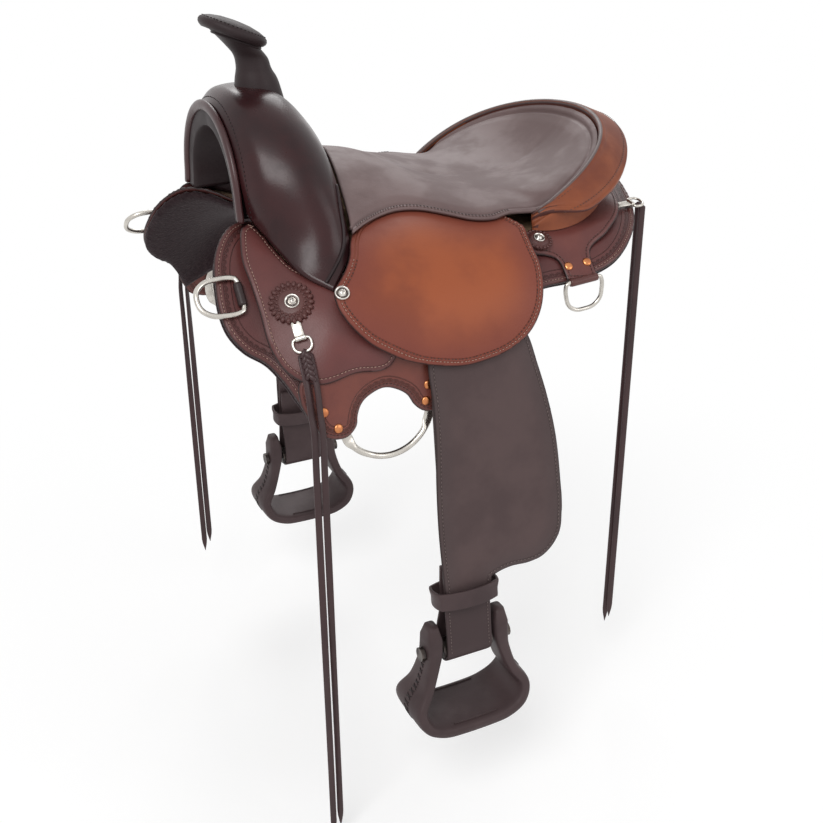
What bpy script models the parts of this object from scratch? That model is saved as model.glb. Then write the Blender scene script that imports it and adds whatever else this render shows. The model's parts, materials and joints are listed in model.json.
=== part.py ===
"""A western trail saddle, built piece by piece as a saddler would lay it up.

Front is -X, the near (left) side is -Y, up is +Z. The origin lies on the centre plane, a little
above the upper edges of the skirts. Sizes below are in millimetres; MM turns them into metres.
"""
import math

import bmesh
import bpy
from mathutils import Matrix, Vector

MM = 0.001
GAP = 0.4  # clearance between leather layers that lie on each other
FIT = 0.3  # clearance between hard parts that touch
SIDES = (("left", 1), ("right", -1))

# Side surface that the skirts lie in: section values at the middle, the front and the rear.
# top_s, top_z: upper edge; lean_in, lean_out: slope in degrees at the edge and at the foot;
# bend: arc length over which the slope changes; power: how late it changes.
MIDDLE = {"top_s": 68, "top_z": -22, "lean_in": 6, "lean_out": 82, "bend": 205, "power": 2.0}
FRONT = {"top_s": 84, "top_z": 18, "lean_in": 42, "lean_out": 66, "bend": 240, "power": 1.5}
REAR = {"top_s": 68, "top_z": -14, "lean_in": 6, "lean_out": 52, "bend": 240, "power": 1.5}
FRONT_START, FRONT_RUN = -140, 110
REAR_START, REAR_RUN = 120, 190
SURFACE_STEP = 4

# Lines of the net that every layer on the side surface shares
X_LINES = [-330, -282, -252, -224, -196, -168, -140, -74, 20, 90, 140, 190, 236, 280, 330]
T_LINES = [-100, -40, 14, 56, 92, 124, 154, 182, 212, 246, 700]

# Leather and tree thicknesses
LINING_T = 9
SKIRT_T = 5
RIG_T = 4.5
PLATE_T = 2.5
JOCKEY_T = 4
FENDER_T = 3.2
STRAP_T = 4
BAR_T = 14
BAR_TIP_T = 8
COVER_T = 4
SEAT_T = 10
SEAT_EDGE_T = 4
SEAM_GAP = 0.8
GROUND_T = 3
GROUND_DEEP = 26

# Seat: its low line on the centre plane, as (x, z), and its height over the skirts at the seam
SEAT_LINE = [(-85, 57), (-51, 52), (-21, 41), (5, 29), (33, 16), (62, 7), (95, 4), (125, 4),
             (150, 6)]
SEAM = [(-119, 84), (-98, 72), (-72, 61), (-48, 56), (-24, 61), (0, 75), (24, 88), (50, 92),
        (76, 87)]
SEAT_N = 42
JOCKEY_LIFT = 5  # the jockey stands off the fender, which swings under it

# Cantle: centre and half axes of the rim bead and of the edge of its roll
RIM_X, RIM_A, RIM_B = 141, 127, 163
RIM_Z, RIM_RISE, RIM_DIP = 3, 80, 6.5
ROLL_X, ROLL_A, ROLL_B = 144, 163, 186
EDGE_Z, EDGE_RISE, EDGE_DIP = 12, 30, 20
RIM_END = 105
BACK_END = 95
CANTLE_END = 90
BEAD_R = 3.5
SEAT_IN = 4.6
CANTLE_ROOM = 5

# Fender, stirrup leather and stirrup, measured down the side surface
LEG_X = -36
PIVOT_X, PIVOT_DOWN = -29, 200
LOOP_END = 192
LOOP_TIP = 9
STRAP_TOP = 212
STRAP_W = 60
FENDER_N = 12.8
STRAP_N = FENDER_N - GAP - STRAP_T
BOLT_DOWN = 580
ROLLER_R = 13
BOLT_R = 5

# Stirrup, about its bolt
STIRRUP_IN_TOP = 34
STIRRUP_IN_LOW = 62
STIRRUP_WALL = 13
STIRRUP_EAR = 38
TREAD_DOWN = 86
TREAD_WALL = 17
TREAD_DEPTH = 84
EAR_DEPTH = 40

# Hobble strap round the foot of the fender
HOBBLE_DOWN = 508
HOBBLE_H = 22
HOBBLE_T = 3.2
HOBBLE_W = 72
HOBBLE_DEPTH = 25.4
HOBBLE_CORNER = 3

# Rigging ring: a round rod below, a flat plate between the leathers above
RING_X, RING_DOWN = -118, 262
RING_R = 54
ROD_R = 3.6
PLATE_HALF_W = 6

# Fork, gullet and horn
GULLET_X = -221
GULLET_HALF_W = 102
GULLET_H = 110
GULLET_BASE_Z = 12
FORK_WALL = 18
ROLL_R = 4.5
HORN_TILT = 22.3
CAP_R = 39.5
CAP_AT = (-187, 199)
WRAP_T = 3.6

# Fittings: rods of the dees, leather round their straight sides, rosettes and strings
DEE_ROD, DEE_HALF, DEE_DROP = 3, 20, 47
REAR_DEE_ROD, REAR_DEE_HALF, REAR_DEE_DROP = 2.5, 24, 36
STRING_DEE_ROD, STRING_DEE_HALF, STRING_DEE_DROP = 1.6, 10, 15
BARREL_WALL = 1.8
ROSETTE_R, ROSETTE_REAR_R, CONCHO_R = 25, 17.5, 8.2
ROSETTE_AT, REAR_ROSETTE_AT, SWELL_CONCHO_AT = (-203, 123), (110, 105), (-157, 140)
ROSETTE_T = 3.5
SCALLOPS = 12
FRONT_DEE_AT, REAR_DEE_AT, REAR_CLIP_AT = (-249, 100), (147, 162), (269, 66)
STRING_CLIP_DOWN = 161
STRING_R = 4
STRING_POINTS = 21
FRONT_STRING_Z = {"left": (-747, -732), "right": (-622, -608)}
REAR_STRING_Z = (-660, -646)


def clamp01(a):
    return min(1.0, max(0.0, a))


def ease(a):
    a = clamp01(a)
    return a * a * (3 - 2 * a)


def mix(a, b, w):
    return a + (b - a) * w


def section_values(x):
    """The section's values at station x, eased from the middle to the front or the rear."""
    f = ease((FRONT_START - x) / FRONT_RUN)
    r = ease((x - REAR_START) / REAR_RUN)
    return {k: MIDDLE[k] + f * (FRONT[k] - MIDDLE[k]) + r * (REAR[k] - MIDDLE[k]) for k in MIDDLE}


def section_point(x, t, n):
    """Half width s and height z of the side surface at arc length t, pushed out by n."""
    q = section_values(x)
    s, z, a = q["top_s"], q["top_z"], math.radians(q["lean_in"])
    if t <= 0:
        s, z = s + t * math.cos(a), z - t * math.sin(a)
    else:
        arc = min(t, q["bend"])
        steps = max(1, int(arc / SURFACE_STEP))
        for i in range(steps):
            u = (i + 0.5) * arc / steps / q["bend"]
            b = math.radians(mix(q["lean_in"], q["lean_out"], u ** q["power"]))
            s += math.cos(b) * arc / steps
            z -= math.sin(b) * arc / steps
        a = math.radians(mix(q["lean_in"], q["lean_out"], (arc / q["bend"]) ** q["power"]))
        s += (t - arc) * math.cos(a)
        z -= (t - arc) * math.sin(a)
    return s + n * math.sin(a), z + n * math.cos(a)


def smooth_side(x, t, n, side):
    s, z = section_point(x, t, n)
    return Vector((x, -side * s, z))


def to_net(lines, a):
    """Place of a in the net, counted in lines."""
    i = 0
    while i < len(lines) - 2 and a >= lines[i + 1]:
        i += 1
    return i + (a - lines[i]) / (lines[i + 1] - lines[i])


def on_net(u, v, height, side):
    """A point of a layer of flat triangles between the net's lines."""
    i = min(len(X_LINES) - 2, max(0, int(math.floor(u))))
    j = min(len(T_LINES) - 2, max(0, int(math.floor(v))))
    a, b = u - i, v - j

    def knot(k, m):
        x, t = X_LINES[i + k], T_LINES[j + m]
        return smooth_side(x, t, height(x, t), side)

    if a >= b:
        return knot(0, 0) * (1 - a) + knot(1, 0) * (a - b) + knot(1, 1) * b
    return knot(0, 0) * (1 - b) + knot(0, 1) * (b - a) + knot(1, 1) * a


def on_side(x, t, height, side):
    """A point of a layer whose height over the skirt is the function height(x, t)."""
    return on_net(to_net(X_LINES, x), to_net(T_LINES, t), height, side)


def side_frame(x, t, n, side):
    """Matrix whose X runs to the rear, Y down the side and Z out of it, at a point of the side."""
    down = (smooth_side(x, t + 1, n, side) - smooth_side(x, t - 1, n, side)).normalized()
    back = (smooth_side(x + 1, t, n, side) - smooth_side(x - 1, t, n, side)).normalized()
    out = back.cross(down).normalized() * -side
    down = (down - back * down.dot(back)).normalized()
    m = Matrix((back, down, out)).transposed().to_4x4()
    m.translation = smooth_side(x, t, n, side)
    return m


def catmull(a, b, c, d, w):
    return 0.5 * (2 * b + (c - a) * w + (2 * a - 5 * b + 4 * c - d) * w * w
                  + (3 * b - a - 3 * c + d) * w ** 3)


def along(points, u):
    """The point at share u of a smooth curve through points."""
    n = len(points) - 1
    i = max(0, min(n - 1, int(u * n)))
    pts = [Vector(p) for p in points]
    b, c = pts[i], pts[i + 1]
    a = pts[i - 1] if i else b * 2 - c
    d = pts[i + 2] if i + 2 <= n else c * 2 - b
    return catmull(a, b, c, d, u * n - i)


def grow(outline, by):
    """The outline pushed outwards by a distance."""
    pts = [Vector(p) for p in outline]
    n = len(pts)
    area = sum(pts[i].cross(pts[(i + 1) % n]) for i in range(n))
    turn = 1 if area > 0 else -1
    out = []
    for i in range(n):
        d = (pts[(i + 1) % n] - pts[i - 1]).normalized()
        out.append(pts[i] + Vector((d.y, -d.x)) * by * turn)
    return out


MATERIALS = {
    "brown_leather": ((0.16, 0.06, 0.05), 0.45, 0.0),
    "tan_leather": ((0.34, 0.11, 0.06), 0.5, 0.0),
    "dark_leather": ((0.09, 0.04, 0.04), 0.3, 0.0),
    "seat_leather": ((0.27, 0.2, 0.2), 0.4, 0.0),
    "leg_leather": ((0.09, 0.07, 0.07), 0.55, 0.0),
    "felt": ((0.03, 0.02, 0.02), 0.95, 0.0),
    "wood": ((0.55, 0.42, 0.26), 0.7, 0.0),
    "steel": ((0.75, 0.74, 0.71), 0.25, 1.0),
    "thong_leather": ((0.05, 0.02, 0.02), 0.5, 0.0),
}


def material(name):
    found = bpy.data.materials.get(name)
    if found:
        return found
    colour, rough, metal = MATERIALS[name]
    mat = bpy.data.materials.new(name)
    mat.use_nodes = True
    bsdf = mat.node_tree.nodes["Principled BSDF"]
    bsdf.inputs["Base Color"].default_value = (*colour, 1.0)
    bsdf.inputs["Roughness"].default_value = rough
    bsdf.inputs["Metallic"].default_value = metal
    return mat


def place_of(obj):
    """World place, in metres, of an object whose parents are only moved, never turned."""
    total = Vector()
    while obj:
        total += obj.location
        obj = obj.parent
    return total


def hook(name, at, parent=None):
    """An empty on a joint's axis; at is in millimetres."""
    obj = bpy.data.objects.new(name, None)
    obj.empty_display_size = 0.03
    bpy.context.scene.collection.objects.link(obj)
    obj.location = at * MM - place_of(parent)
    obj.parent = parent
    return obj


def finish(name, bm, mat, parent=None, round_piece=False, helper=False):
    """Closes the piece's mesh, turns its faces out and links it as one named object."""
    bmesh.ops.remove_doubles(bm, verts=bm.verts, dist=0.01)
    bmesh.ops.dissolve_degenerate(bm, edges=bm.edges, dist=0.005)
    bmesh.ops.recalc_face_normals(bm, faces=bm.faces)
    if bm.calc_volume(signed=True) < 0:
        bmesh.ops.reverse_faces(bm, faces=bm.faces)
    bmesh.ops.scale(bm, verts=bm.verts, vec=(MM, MM, MM))
    bmesh.ops.translate(bm, verts=bm.verts, vec=-place_of(parent))
    mesh = bpy.data.meshes.new(name)
    bm.to_mesh(mesh)
    bm.free()
    if round_piece:
        mesh.shade_smooth()
        mesh.set_sharp_from_angle(angle=math.radians(40))
    mesh.materials.append(material(mat))
    obj = bpy.data.objects.new(name, mesh)
    bpy.context.scene.collection.objects.link(obj)
    obj.parent = parent
    if helper:
        obj.hide_render = True
        obj.display_type = "WIRE"
    return obj


def boolean(obj, tool, operation):
    mod = obj.modifiers.new(operation.lower(), "BOOLEAN")
    mod.operation = operation
    mod.solver = "EXACT"
    mod.object = tool


def cut(obj, *tools):
    for tool in tools:
        boolean(obj, tool, "DIFFERENCE")


def weld(obj, *tools):
    for tool in tools:
        boolean(obj, tool, "UNION")


def flat_pattern(outline):
    """The outline as a flat face in net places, cut along the net's lines and diagonals."""
    flat = bmesh.new()
    corners = [(to_net(X_LINES, p[0]), to_net(T_LINES, p[1]), 0) for p in outline]
    flat.faces.new([flat.verts.new(c) for c in corners])
    us, vs = [c[0] for c in corners], [c[1] for c in corners]
    gaps = [c[0] - c[1] for c in corners]
    lines = [((k, 0, 0), (1, 0, 0)) for k in range(len(X_LINES)) if min(us) < k < max(us)]
    lines += [((0, k, 0), (0, 1, 0)) for k in range(len(T_LINES)) if min(vs) < k < max(vs)]
    lines += [((k, 0, 0), (1, -1, 0)) for k in range(-len(T_LINES), len(X_LINES))
              if min(gaps) < k < max(gaps)]
    for place, normal in lines:
        geom = flat.verts[:] + flat.edges[:] + flat.faces[:]
        bmesh.ops.bisect_plane(flat, geom=geom, dist=0.002, plane_co=place, plane_no=normal)
    bmesh.ops.remove_doubles(flat, verts=flat.verts, dist=0.004)
    bmesh.ops.triangulate(flat, faces=flat.faces)
    return flat


def panel(name, outline, low, high, side, mat, parent=None, helper=False):
    """A leather panel on the side surface: its outline in (x, down), and the heights of its lower
    and upper faces over the skirt as functions of place."""
    flat = flat_pattern(outline)
    bm = bmesh.new()
    lower = {v: bm.verts.new(on_net(v.co.x, v.co.y, low, side)) for v in flat.verts}
    upper = {v: bm.verts.new(on_net(v.co.x, v.co.y, high, side)) for v in flat.verts}
    for f in flat.faces:
        bm.faces.new([upper[v] for v in f.verts])
        bm.faces.new([lower[v] for v in reversed(f.verts)])
    for e in flat.edges:
        if len(e.link_faces) == 1:
            a, b = e.verts
            bm.faces.new((upper[a], lower[a], lower[b], upper[b]))
    flat.free()
    return finish(name, bm, mat, parent, helper=helper)


def loft(name, rings, mat, parent=None, closed=False, helper=False):
    """A solid through rings of points; the first and last are capped unless it closes on itself."""
    bm = bmesh.new()
    loops = [[bm.verts.new(p) for p in ring] for ring in rings]
    n = len(loops[0])
    pairs = list(zip(loops, loops[1:])) + ([(loops[-1], loops[0])] if closed else [])
    for a, b in pairs:
        for j in range(n):
            bm.faces.new((a[j], a[(j + 1) % n], b[(j + 1) % n], b[j]))
    if not closed:
        bm.faces.new(loops[0][::-1])
        bm.faces.new(loops[-1])
    return finish(name, bm, mat, parent, round_piece=True, helper=helper)


def tube_shell(name, outer, inner, mat, parent=None):
    """A wall between two stacks of rings, open at both ends."""
    bm = bmesh.new()
    stacks = [[[bm.verts.new(p) for p in ring] for ring in stack] for stack in (outer, inner)]
    n = len(outer[0])
    for stack in stacks:
        for a, b in zip(stack, stack[1:]):
            for j in range(n):
                bm.faces.new((a[j], a[(j + 1) % n], b[(j + 1) % n], b[j]))
    for k in (0, -1):
        a, b = stacks[0][k], stacks[1][k]
        for j in range(n):
            bm.faces.new((a[j], a[(j + 1) % n], b[(j + 1) % n], b[j]))
    return finish(name, bm, mat, parent, round_piece=True)


def half_shell(name, upper, lower, mat, closed_end=False, helper=False):
    """A shell between two nets of the left half, mirrored to the right. Column 0 of each net lies
    on the centre plane, and so does its last row where closed_end is set."""
    bm = bmesh.new()
    rows, cols = len(upper), len(upper[0])
    for side in (1, -1):
        a, b = [[[bm.verts.new((p.x, p.y * side, p.z)) for p in row] for row in net]
                for net in (upper, lower)]
        for net in (a, b):
            for i in range(rows - 1):
                for j in range(cols - 1):
                    a2, b2 = net[i + 1][j], net[i][j + 1]
                    bm.faces.new((net[i][j], a2, b2))
                    bm.faces.new((a2, net[i + 1][j + 1], b2))
        for i in range(rows - 1):
            bm.faces.new((a[i][-1], a[i + 1][-1], b[i + 1][-1], b[i][-1]))
        for i in ([0] if closed_end else [0, -1]):
            for j in range(cols - 1):
                bm.faces.new((a[i][j], a[i][j + 1], b[i][j + 1], b[i][j]))
    return finish(name, bm, mat, round_piece=True, helper=helper)


def inward(net, depth, closed_end=False):
    """The net pushed down along its own normals; depth is a function of row and column."""
    rows, cols = len(net), len(net[0])

    def at(i, j):
        flip = j < 0
        j = abs(j)
        if i > rows - 1 and closed_end:
            i, flip = 2 * (rows - 1) - i, not flip
        p = net[min(max(i, 0), rows - 1)][min(j, cols - 1)]
        return Vector((p.x, -p.y, p.z)) if flip else p

    out = []
    for i in range(rows):
        row = []
        for j in range(cols):
            du = at(i + 1, j) - at(i - 1, j)
            dv = at(i, j + 1) - at(i, j - 1)
            nrm = dv.cross(du)
            nrm = nrm.normalized() if nrm.length > 1e-6 else Vector((0, 0, 1))
            if j == 0 or (closed_end and i == rows - 1):
                nrm.y = 0
                nrm.normalize()
            row.append(net[i][j] - nrm * depth(i, j))
        out.append(row)
    return out


def rod(name, path, radius, mat, parent=None, closed=False, sides=8, helper=False):
    """A round rod along a path of points."""
    pts = [Vector(p) for p in path]
    n = len(pts)
    rings, up = [], None
    for i, p in enumerate(pts):
        if closed:
            d = pts[(i + 1) % n] - pts[i - 1]
        else:
            d = pts[min(i + 1, n - 1)] - pts[max(i - 1, 0)]
        d.normalize()
        up = d.orthogonal() if up is None else up
        up = (up - d * up.dot(d)).normalized()
        w = d.cross(up)
        rings.append([p + (up * math.cos(k * math.tau / sides) + w * math.sin(k * math.tau / sides))
                      * radius for k in range(sides)])
    return loft(name, rings, mat, parent, closed=closed, helper=helper)


# Outlines on the side surface, as (x, distance down it)
SKIRT_FRONT = [(-196, -6), (-216, 2), (-236, 14), (-252, 31), (-264, 54), (-271, 84), (-274, 118),
               (-271, 138), (-258, 161), (-238, 179), (-226, 200), (-216, 224), (-206, 252)]
RIG_LOBE = [(-198, 266), (-184, 275), (-166, 278), (-157, 272), (-154, 260)]
RIG_ARCH = [(-148, 249), (-136, 241), (-120, 237), (-105, 242), (-93, 251)]
RIG_HEEL = [(-86, 263), (-76, 272), (-58, 274), (-46, 262)]
SKIRT_RISE = [(-178, 232), (-120, 226), (-60, 224)]
SKIRT_FOOT = [(-20, 216), (12, 198), (48, 176), (96, 160), (140, 158), (172, 155)]
SKIRT_REAR = [(200, 147), (228, 128), (252, 102), (274, 66), (294, 22), (310, -22), (314, -60)]
SKIRT_TOP = [(296, -66), (258, -56), (230, -16), (196, 4), (0, 6)]
RIG_TOP = [(-40, 214), (-60, 198), (-120, 190), (-180, 192), (-214, 206)]
SEAT_JOCKEY = [(-163, 134), (-156, 129), (-146, 121), (-134, 107), (-124, 88), (-110, 70),
               (-92, 58), (-70, 49), (-48, 45), (-22, 50), (2, 63), (26, 76), (50, 80), (66, 79),
               (79, 91), (86, 101), (85, 112), (84, 127), (85, 143), (81, 163), (73, 182),
               (61, 197), (44, 209), (24, 218), (0, 223), (-28, 225), (-58, 220), (-88, 211),
               (-116, 199), (-142, 184), (-158, 166), (-165, 148)]
FRONT_JOCKEY = [(-205, 30), (-214, 16), (-226, 24), (-234, 44), (-238, 66), (-237, 90),
                (-236, 122), (-234, 168), (-226, 189), (-213, 203), (-195, 211), (-160, 212),
                (-110, 210), (-100, 190), (-104, 150), (-128, 112), (-160, 104), (-185, 84),
                (-197, 56)]
REAR_JOCKEY = [(101, 92), (96, 106), (101, 118), (113, 122), (124, 128), (127.5, 146),
               (127.5, 158), (166.5, 166), (172, 128), (204, 111), (230, 92), (252, 62), (272, 20),
               (284, -26), (284, -62)]
FENDER = [(-68, 186), (-70, 224), (-67, 264), (-67, 318), (-69, 359), (-70, 412), (-67, 494),
          (-66, 514), (-6, 514), (-4, 493), (8, 489), (22, 487), (49, 488), (66, 485), (81, 475),
          (92, 459), (96, 433), (95, 387), (90, 331), (80, 282), (68, 240), (58, 208), (46, 186)]
BAR = [(-222, 56), (-205, 26), (-165, 12), (-60, 8), (60, 8), (170, 10), (214, 24), (229, 56),
       (222, 80), (190, 90), (60, 92), (20, 112), (-50, 118), (-90, 106), (-150, 98), (-206, 80)]


def flat_at(n):
    return lambda x, t: n


def over(height, extra):
    return lambda x, t: height(x, t) + extra


def bar_top(x, t):
    """Upper face of a tree bar over the skirt: thick under the rider, thin at the tips."""
    share = min(ease((x + 124) / 50), ease((96 - x) / 50))
    return GAP + mix(BAR_TIP_T, BAR_T, share)


TIP_TOP = GAP + BAR_TIP_T


def seat_jockey_low(x, t):
    """The seat jockey bridges bars and stirrup leather above, and lies on the fender below."""
    top = SEAT_N - SEAT_EDGE_T - SEAM_GAP - JOCKEY_T
    return mix(top, FENDER_N + FENDER_T + JOCKEY_LIFT, ease((t - 50) / 160))


def front_jockey_low(x, t):
    """The front jockey lies on the bar's tip above and on the rigging leather below."""
    return mix(TIP_TOP + GAP, PLATE_T + RIG_T + 3 * GAP, ease((t - 130) / 70))


def rear_jockey_low(x, t):
    """The rear jockey lies on the bar's tip above, and on the skirt below and behind."""
    on_bar = (1 - ease((t - 94) / 34)) * (1 - ease((x - 232) / 40))
    return mix(GAP, TIP_TOP + GAP, on_bar)


def cantle_side():
    """Inner edge of the rear jockey, which follows the foot of the cantle."""
    out = []
    for k in range(9):
        a = math.radians(mix(9, 98, k / 8))
        x = RIM_X + (RIM_A - CANTLE_ROOM) * math.cos(a)
        out.append((x, down_to(x, (RIM_B - CANTLE_ROOM) * math.sin(a))))
    return out


def layer(name, outline, low, thick, side, mat, parent=None, helper=False):
    return panel(name, outline, low, over(low, thick), side, mat, parent, helper)


def make_flat_leathers(name, side):
    """The fixed leathers of one side, from the horse outwards."""
    rim = SKIRT_FRONT[:-1] + [(-209, 240)] + SKIRT_RISE + SKIRT_FOOT + SKIRT_REAR + SKIRT_TOP
    lining_low = -SKIRT_T - GAP - LINING_T
    layer(f"skirt_lining_{name}", grow(rim[::2], 1.2), flat_at(lining_low), LINING_T, side, "felt")
    skirt = layer(f"skirt_{name}", rim, flat_at(-SKIRT_T), SKIRT_T, side, "brown_leather")
    rig = SKIRT_FRONT[-2:] + RIG_LOBE + RIG_ARCH + RIG_HEEL + RIG_TOP
    layer(f"rigging_leather_{name}", rig, flat_at(PLATE_T + 2 * GAP), RIG_T, side,
          "brown_leather")
    layer(f"front_jockey_{name}", FRONT_JOCKEY, front_jockey_low, JOCKEY_T, side,
          "brown_leather")
    rear = layer(f"rear_jockey_{name}", REAR_JOCKEY + cantle_side(), rear_jockey_low, JOCKEY_T,
                 side, "brown_leather")
    layer(f"seat_jockey_{name}", SEAT_JOCKEY, seat_jockey_low, JOCKEY_T, side, "tan_leather")
    return skirt, rear


def strap_ring(line, i, half_w, side, spot):
    """A rectangle across the strap's side line at its point i."""
    p = line[i]
    a, b = line[max(0, i - 1)], line[min(len(line) - 1, i + 1)]
    d = (b - a).normalized()
    nrm = Vector((-d.y, d.x))
    ring = []
    for sx, sn in ((-1, -1), (1, -1), (1, 1), (-1, 1)):
        q = p + nrm * STRAP_T / 2 * sn
        ring.append(spot(LEG_X + sx * half_w, q.x, q.y, side))
    return ring


def on_flat_net(x, t, n, side):
    return on_side(x, t, flat_at(n), side)


def make_leather_loop(name, side):
    """The fixed top of the stirrup leather: from under the bar over its upper edge and down its
    groove, to a tongue behind the fender's head."""
    under = GAP + FIT + STRAP_T / 2
    out = STRAP_N + STRAP_T / 2
    line = [(56, under), (14, under), (5, under + 0.4), (0, (under + out) / 2), (5, out - 0.4),
            (14, out)]
    line += [(t, out) for t in T_LINES if 20 < t < LOOP_END - 6] + [(LOOP_END, out - 0.2)]
    line = [Vector(p) for p in line]
    rings = []
    for i, p in enumerate(line):
        on_outside = i > 4
        taper = ease((p.x - 140) / (LOOP_END - 140)) if on_outside else 0
        rings.append(strap_ring(line, i, mix(STRAP_W / 2, LOOP_TIP, taper), side, on_flat_net))
    return loft(f"leather_loop_{name}", rings, "leg_leather")


def stirrup_loop():
    """Side line of the leather from behind the fender, round the stirrup's roller and up again,
    and the height of the roller's axis."""
    out = STRAP_N + STRAP_T / 2
    r = ROLLER_R + FIT + STRAP_T / 2
    centre_n = out - r
    line = [(STRAP_TOP, out), (240, out), (300, out), (BOLT_DOWN - 20, out)]
    line += [(BOLT_DOWN + r * math.sin(math.pi * k / 8), centre_n + r * math.cos(math.pi * k / 8))
             for k in range(9)]
    line += [(BOLT_DOWN - 22, centre_n - r * 0.82), (HOBBLE_DOWN + 18, -4), (HOBBLE_DOWN - 10, -1),
             (HOBBLE_DOWN - 40, 3)]
    return [Vector(p) for p in line], centre_n


def make_stirrup_leather(name, side, parent):
    line = stirrup_loop()[0]
    rings = [strap_ring(line, i, STRAP_W / 2, side, smooth_side) for i in range(len(line))]
    return loft(f"stirrup_leather_{name}", rings, "leg_leather", parent)


def make_bar(name, side):
    """A bar of the tree, grooved for the stirrup leather that hangs over it."""
    bar = panel(f"tree_bar_{name}", BAR, flat_at(GAP), bar_top, side, "wood")
    far = 33
    grooves = []
    for part, room_x, top, foot, low, high in (
            ("outer", 0.7, -far, 151, STRAP_N - FIT, far),
            ("inner", 1.3, -far - 2, 63, -far, GAP + 2 * FIT + STRAP_T),
            ("edge", 1.7, -far - 4, 12, -far - 2, far - 2)):
        half = STRAP_W / 2 + room_x
        hole = [(LEG_X - half, top), (LEG_X + half, top), (LEG_X + half, foot),
                (LEG_X - half, foot)]
        grooves.append(panel(f"groove_{part}_{name}", hole, flat_at(low), flat_at(high), side,
                             "wood", helper=True))
    weld(grooves[0], grooves[1], grooves[2])
    cut(bar, grooves[0])
    return bar


def make_leg(name, side):
    """Fender, stirrup leather, hobble strap, stirrup and bolt of one side."""
    make_leather_loop(name, side)
    pivot = hook(f"fender_pivot_{name}", smooth_side(PIVOT_X, PIVOT_DOWN, FENDER_N, side))
    layer(f"fender_{name}", FENDER, flat_at(FENDER_N), FENDER_T, side, "leg_leather", pivot)
    make_stirrup_leather(name, side, pivot)
    make_hobble(name, side, pivot)
    centre_n = stirrup_loop()[1]
    bolt = smooth_side(LEG_X, BOLT_DOWN, centre_n, side)
    turning = hook(f"stirrup_pivot_{name}", bolt, pivot)

    def place(x, out, down):
        return bolt + Vector((x, -side * out, -down))

    make_stirrup(name, place, turning)
    make_bolt(name, place, turning)


def make_hobble(name, side, parent):
    """A flat collar round the fender's foot and both plies of the leather, above the stirrup."""
    mid_n = FENDER_N + FENDER_T + GAP - HOBBLE_DEPTH / 2
    stacks = []
    for wall in (HOBBLE_T, 0):
        w, d, c = HOBBLE_W / 2 + wall, HOBBLE_DEPTH / 2 + wall, HOBBLE_CORNER + wall * 0.6
        corner = [(w, d - c), (w - c * 0.3, d - c * 0.3), (w - c, d)]
        quarter = corner + [(-x, y) for x, y in corner[::-1]]
        outline = quarter + [(-x, -y) for x, y in quarter]
        stacks.append([[smooth_side(LEG_X + x, t, mid_n + y, side) for x, y in outline]
                       for t in (HOBBLE_DOWN - HOBBLE_H / 2, HOBBLE_DOWN + HOBBLE_H / 2)])
    return tube_shell(f"hobble_strap_{name}", stacks[0], stacks[1], "leg_leather", parent)


def stirrup_rings(place):
    """Sections of the stirrup along its bent way: ear, leg, tread, leg, ear."""
    half = [(-STRAP_W / 2 - 15, -STIRRUP_EAR, EAR_DEPTH * 0.72, 20),
            (-STRAP_W / 2 - 15, -6, EAR_DEPTH * 0.86, 19),
            (-STIRRUP_IN_TOP - 14, 14, EAR_DEPTH * 0.95, STIRRUP_WALL + 3),
            (-STIRRUP_IN_LOW + 4, 44, EAR_DEPTH * 1.25, STIRRUP_WALL + 1),
            (-STIRRUP_IN_LOW - 9, 66, TREAD_DEPTH * 0.82, STIRRUP_WALL + 2),
            (-STIRRUP_IN_LOW - 2, 86, TREAD_DEPTH * 0.96, STIRRUP_WALL + 3),
            (-STIRRUP_IN_LOW + 18, TREAD_DOWN + 11, TREAD_DEPTH, TREAD_WALL),
            (-20, TREAD_DOWN + 14, TREAD_DEPTH, TREAD_WALL)]
    way = half + [(-x, t, d, w) for x, t, d, w in reversed(half)]
    corner = 0.72
    rings = []
    for i, (x, t, depth, wall) in enumerate(way):
        a, b = way[max(0, i - 1)], way[min(len(way) - 1, i + 1)]
        d = Vector((b[0] - a[0], b[1] - a[1])).normalized()
        nrm = Vector((-d.y, d.x))
        ring = []
        for sn, sw in ((-1, -corner), (-corner, -1), (corner, -1), (1, -corner), (1, corner),
                       (corner, 1), (-corner, 1), (-1, corner)):
            p = Vector((x, t)) + nrm * wall / 2 * sw
            ring.append(place(p.x, depth / 2 * sn, p.y))
        rings.append(ring)
    return rings


def make_stirrup(name, place, parent):
    body = loft(f"stirrup_{name}", stirrup_rings(place), "leg_leather", parent)
    reach = STRAP_W / 2 + 40
    hole = rod(f"bolt_hole_{name}", [place(-reach, 0, 0), place(reach, 0, 0)], BOLT_R + FIT,
               "wood", sides=12, helper=True)
    cut(body, hole)
    return body


def make_bolt(name, place, parent):
    """The bolt with its head and nut outside the ears, and the roller that carries the leather."""
    reach = STRAP_W / 2 + 15 + 10 + 0.6
    head = 9
    profile = [(-reach - 5, head), (-reach, head), (-reach, BOLT_R), (-STRAP_W / 2 - 3, BOLT_R),
               (-STRAP_W / 2 - 3, ROLLER_R), (STRAP_W / 2 + 3, ROLLER_R),
               (STRAP_W / 2 + 3, BOLT_R), (reach, BOLT_R), (reach, head), (reach + 5, head)]
    sides = 10
    rings = [[place(x, r * math.cos(math.tau * k / sides), r * math.sin(math.tau * k / sides))
              for k in range(sides)] for x, r in profile]
    return loft(f"stirrup_bolt_{name}", rings, "steel", parent)


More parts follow.
